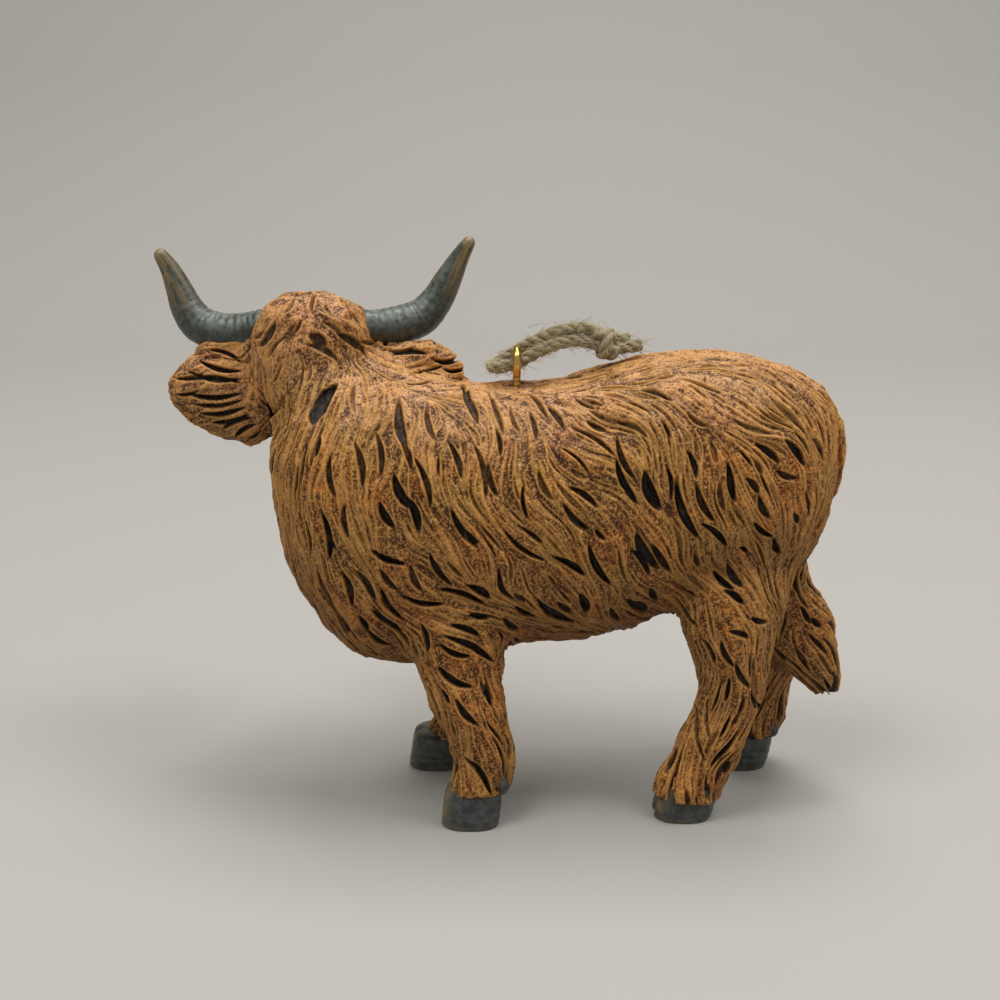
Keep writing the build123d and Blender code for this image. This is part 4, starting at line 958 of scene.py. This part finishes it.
# Screw eye: one brass-plated steel wire, 1.2 mm, bent to a ring whose end meets its own shank, and driven 6 mm
# into the back. The shank has a rolled thread. The eye sees a bright yellow wire, slightly cloudy.
brass = brushed("polished_brass_plate", (), {"cloud": (0.8, 2)}, "#c8a04c",
                [("#dcbc6a", ("cloud", 0.35, 0.65, 0, 1))], Metallic=1.0, Roughness=0.2)
eye_x, ring_z, ring_radius, wire_radius = 2.488, 68.544, 2.0, 0.6
shank_foot, thread_top, thread_pitch = 60.0, 66.0, 0.7
ring_points, shank_points, wire_points, easing = 120, 60, 420, 13


def even_line(points, count):
    """A line's points spread evenly along it."""
    walk = length_along(points)
    return np.stack([np.interp(np.linspace(0, walk[-1], count), walk, points[:, i]) for i in range(3)], axis=1)


turn = np.linspace(-math.pi / 2, 1.5 * math.pi - 0.34, ring_points)
ring_line = np.stack([np.full(ring_points, eye_x), ring_radius * np.cos(turn),
                      ring_z + ring_radius * np.sin(turn)], axis=1)
shank_line = np.stack([np.full(shank_points, eye_x), np.zeros(shank_points),
                       np.linspace(shank_foot, ring_z - ring_radius - 0.5, shank_points)], axis=1)
wire_line = np.concatenate([shank_line, ring_line[6:]])
wire_walk = length_along(wire_line)
walk = np.linspace(0, wire_walk[-1], wire_points)
kernel = np.ones(easing) / easing
eased = np.stack([np.convolve(np.pad(column, easing // 2, mode="edge"), kernel, mode="valid")
                  for column in even_line(wire_line, wire_points).T], axis=1)
thread = np.clip((thread_top - eased[:, 2]) / 0.4, 0, 1) * (walk < wire_walk[shank_points])
radius = wire_radius - 0.12 * thread - 0.06 * thread * np.cos(2 * np.pi * walk / thread_pitch)
radius = radius * np.sqrt(np.clip(np.minimum(walk, wire_walk[-1] - walk) / 0.5, 0.02, 1))
points, _ = tube(eased, radius[:, None], np.array([1.0, 0, 0]), 28)
put_mesh("screw_eye_wire", points, brass, "figurine", ("screw_eye",))


# Jute loop: 45.9 mm of three-ply jute twine, 1.8 mm thick, from a cut end through the knot, past the ring's
# side, back through the ring under its top wire and through the knot again to the other cut end. Its route
# follows the source's, in millimetres.
route_mm = [(19.3, 0.6, 71.9), (17.6, 0.5, 71.85), (15.2, 0.3, 72.55), (12.6, 0.2, 73.75), (9.5, 0.5, 73.35),
            (6.4, 1.5, 72.1), (3.2, 3.3, 70.2), (0.4, 3.5, 68.3), (-1.5, 2.0, 67.7), (-0.9, 0.1, 67.6),
            (2.49, 0.0, 68.3), (5.4, -0.2, 70.1), (8.6, -0.4, 71.5), (11.9, -0.3, 72.0), (15.0, -0.2, 70.9),
            (17.6, -0.3, 70.6), (21.0, -0.4, 71.2)]
route = bpy.data.curves.new("twine_route", "CURVE")
route.dimensions = "3D"
route.resolution_u = 24
spline = route.splines.new("NURBS")
spline.points.add(len(route_mm) - 1)
for point, (x, y, z) in zip(spline.points, route_mm):
    point.co = (x / 1000, y / 1000, z / 1000, 1)
spline.order_u = 3
spline.use_endpoint_u = True
route_object = bpy.data.objects.new("twine_route", route)
route_mesh = bpy.data.meshes.new_from_object(route_object)
route_line = np.array([vertex.co for vertex in route_mesh.vertices]) * 1000
bpy.data.objects.remove(route_object)
bpy.data.curves.remove(route)
bpy.data.meshes.remove(route_mesh)
# Jute: dull golden-grey bast fibres, spun loosely. Each ply shows fine lengthwise fibres, paler on its crown: the
# fibres' own tones, with painted shade darkening the grooves between the raised ribs.
jute = brushed("spun_jute_fibre", ("fibre",), {"soil": (1.6, 2)}, "#5d4e36",
               [("#c8b992", ("fibre", -1.2, 1.4, 0, 1)), ("#857a5c", ("soil", 0.45, 0.7, 0, 0.6))],
               Roughness=0.85, Sheen_Weight=0.15)
ply_offset, ply_radius, rib_height, ply_pitch = 0.45, 0.48, 0.085, 5.2


def plies(line_points, reference, phase=0.0, columns=20):
    """Three plies wound round a line: each a tube whose middle is offset at an angle that grows by a turn a
    pitch, with ribs of spun fibre. Gives the three tubes' points and how high each fibre stands."""
    walk = length_along(line_points)
    side, other = square_to(line_points, reference)
    tubes, fibres = [], []
    for ply in range(3):
        turn = 2 * np.pi * (walk / ply_pitch + ply / 3) + phase
        centre = line_points + ply_offset * (np.cos(turn)[:, None] * side + np.sin(turn)[:, None] * other)
        spin = round_angles(columns)[None] + turn[:, None] * 1.6
        wound = np.stack([np.cos(spin), np.sin(spin), np.repeat(walk[:, None] * 0.3, columns, axis=1)], axis=2)
        fibre = (0.5 * np.sin(5 * spin + 2 * ply) + 0.5 * np.sin(11 * spin + 0.8 * np.sin(walk)[:, None])
                 + 0.5 * lattice_values((wound * 2).reshape(-1, 3), 0.35, strand_lattice).reshape(spin.shape))
        ends = np.clip(np.minimum(walk, walk[-1] - walk) / 0.25, 0.1, 1)[:, None] ** 0.5
        tubes.append(tube(centre, (ply_radius + rib_height * fibre) * ends, reference, columns)[0])
        fibres.append(fibre)
    return tubes, fibres


twine_points, knot_points = 320, 160
twine_line = even_line(route_line, twine_points)
twine_tubes, twine_fibres = plies(twine_line, np.array([0.05, 0.2, 1.0]))
twine_piece = put_mesh("twine_plies", twine_tubes, jute, "hanging_loop", ("twine_loop",),
                       {"fibre": twine_fibres})

# Overhand knot, pulled tight: the twine's own turns round both strands, 1.9 times round while they move along
knot_middle, knot_along, knot_up = np.array([[15.69, 0, 71.3], [0.9945, 0, -0.1045], [0.1045, 0, 0.9945]])
knot_turns, knot_length, knot_half_height, knot_half_width = 1.9, 2.5, 1.55, 1.3
part = np.linspace(0, 1, knot_points)
turn = 2 * np.pi * (knot_turns * part - 0.15)
knot_line = (knot_middle + knot_along * (knot_length * part - knot_length / 2)[:, None]
             + knot_up * (knot_half_height * np.cos(turn))[:, None]
             + np.array([0, knot_half_width, 0]) * np.sin(turn)[:, None])
knot_tubes, knot_fibres = plies(knot_line, knot_along, 1.0)
knot_piece = put_mesh("knot_turns", knot_tubes, jute, "hanging_loop", ("twine_knot",), {"fibre": knot_fibres})

# Stray fibres that stand off the twine: curved hairs 0.6 to 2.4 mm long and about 0.1 mm thick, three-sided, and
# a few long ones, each a curve towards its middle point and away to its end
count, hair_points, hair_start, shortest, longer = 1500, 6, 0.75, 0.6, 1.8
base = random.integers(4, len(twine_line) - 4, count)
run = unit(twine_line[base + 2] - twine_line[base - 2])
around = random.uniform(0, 2 * np.pi, count)[:, None]
outward = np.cos(around) * np.array([0, 1.0, 0]) + np.sin(around) * np.cross(run, [0, 1.0, 0])
way = unit(outward * random.uniform(0.02, 0.6, (count, 1)) ** 1.5 + run * random.choice([-1, 1], (count, 1))
           + np.cross(run, outward) * random.uniform(-0.7, 0.7, (count, 1)))
length = (shortest + longer * random.random(count) ** 2)[:, None, None]
step = np.linspace(0, 1, hair_points)[None, :, None]
curl = random.uniform(-0.5, 0.5, (count, 1, 3))
hairs = (twine_line[base][:, None] + outward[:, None] * hair_start
         + (way[:, None] * step + curl * step ** 2) * length)
long_hairs = [((11.7, -1.4, 74.1), (11.4, -1.7, 72.4), (10.5, -1.5, 70.9)),
              ((0.3, -1.4, 67.8), (1.2, -2.0, 66.8), (2.1, -2.4, 66.3)),
              ((15.4, -2.4, 70.7), (16.2, -2.8, 69.9), (17.1, -2.6, 69.4)),
              ((5.9, -0.9, 70.2), (7.0, -1.2, 69.2), (8.4, -1.0, 69.4)),
              ((-0.6, -0.6, 69.0), (-1.6, -0.9, 68.6), (-2.2, -1.0, 67.4)),
              ((14.6, -1.4, 70.6), (15.3, -1.9, 69.5), (15.9, -1.7, 69.9)),
              ((4.2, -0.9, 73.8), (5.4, -1.4, 74.6), (6.8, -1.2, 74.5)),
              ((1.8, -0.9, 68.4), (3.2, -1.4, 67.7), (4.0, -1.6, 67.6))]
a, b, c = np.array(long_hairs).swapaxes(0, 1)[:, :, None]
hairs = np.concatenate([hairs, (1 - step) ** 2 * a + 2 * step * (1 - step) * b + step ** 2 * c])
run = np.gradient(hairs, axis=1)
side = unit(np.cross(run, [0.31, 0.2, 0.93]))
other = unit(np.cross(run, side))
angle = round_angles(3)
ring = np.cos(angle)[:, None] * side[:, :, None] + np.sin(angle)[:, None] * other[:, :, None]
taper = np.array([0.045, 0.05, 0.045, 0.038, 0.03, 0.015])[:, None, None]
hair_tubes = list(hairs[:, :, None] + ring * taper)
stray_piece = put_mesh("twine_strays", hair_tubes, jute, "hanging_loop", (),
                       {"fibre": [np.full((hair_points, 3), 0.7)] * len(hair_tubes)})


# Camera at the photograph's viewing angle: square to the left flank and looking 15 degrees down on its middle
camera_place, camera_tilt = (0, -220.138, 106.374), 15
camera_data = bpy.data.cameras.new("camera")
camera_data.lens = 54
camera_data.sensor_width = 36
camera_data.clip_start = 0.01
camera = bpy.data.objects.new("camera", camera_data)
bpy.context.scene.collection.objects.link(camera)
camera.location = (np.array(camera_place) + row_shift) / 1000
camera.rotation_euler = (math.radians(90 - camera_tilt), 0, 0)
bpy.context.scene.camera = camera

# Studio: a pale floor that sweeps up into a backdrop 0.4 m behind, and soft lamps from the upper left and right
# and from above. The profile is flat, then a quarter round of 0.25 m, then upright.
turn = np.linspace(0, math.pi / 2, 13)
bend_start, bend_radius, half_floor = 0.4, 0.25, 2.0
profile = np.concatenate([[[-1.2, 0.0]],
                          np.stack([bend_start + bend_radius * np.sin(turn),
                                    bend_radius - bend_radius * np.cos(turn)], axis=1),
                          [[bend_start + bend_radius, 1.5]]])
floor_points = np.stack([np.repeat([[-half_floor, half_floor]], len(profile), axis=0),
                         np.repeat(profile[:, :1], 2, axis=1), np.repeat(profile[:, 1:], 2, axis=1)], axis=2)
index = np.arange(len(profile) * 2).reshape(-1, 2)
faces = np.stack([index[:-1, 0], index[:-1, 1], index[1:, 1], index[1:, 0]], axis=1)
floor_mesh = bpy.data.meshes.new("floor")
floor_mesh.from_pydata(floor_points.reshape(-1, 3).tolist(), [], faces.tolist())
floor_mesh.shade_smooth()
floor = bpy.data.objects.new("floor", floor_mesh)
bpy.context.scene.collection.objects.link(floor)
# Warm grey paper, slightly lighter on the floor than on the upright, where the darker colour is painted shade
height = floor_mesh.attributes.new("height", "FLOAT", "POINT")
height.data.foreach_set("value", floor_points[..., 2].ravel().astype(np.float32))
floor_mesh.materials.append(brushed("floor_paint", ("height",), {}, "#b2afa9",
                                    [("#a5a29d", ("height", 0.0, 0.12, 0, 1))], Roughness=0.6))

world = bpy.data.worlds.new("studio")
bpy.context.scene.world = world
world.use_nodes = True
world.node_tree.nodes["Background"].inputs["Color"].default_value = linear("#dcdad6")
world.node_tree.nodes["Background"].inputs["Strength"].default_value = 0.55
aim = np.array([0, 0, 0.04])
for place_m, energy, size in (((-0.28, -0.3, 0.85), 2.9, 0.35), ((0.42, -0.15, 0.8), 2.7, 0.35),
                              ((0.05, 0.2, 0.9), 3.6, 0.4)):
    lamp_data = bpy.data.lights.new("lamp", "AREA")
    lamp_data.energy = energy
    lamp_data.size = size
    lamp = bpy.data.objects.new("lamp", lamp_data)
    bpy.context.scene.collection.objects.link(lamp)
    lamp.location = place_m
    down = aim - np.array(place_m)
    lamp.rotation_euler = (math.acos(-down[2] / np.linalg.norm(down)), 0, math.atan2(-down[0], down[1]))
bpy.context.scene.view_settings.view_transform = "Standard"
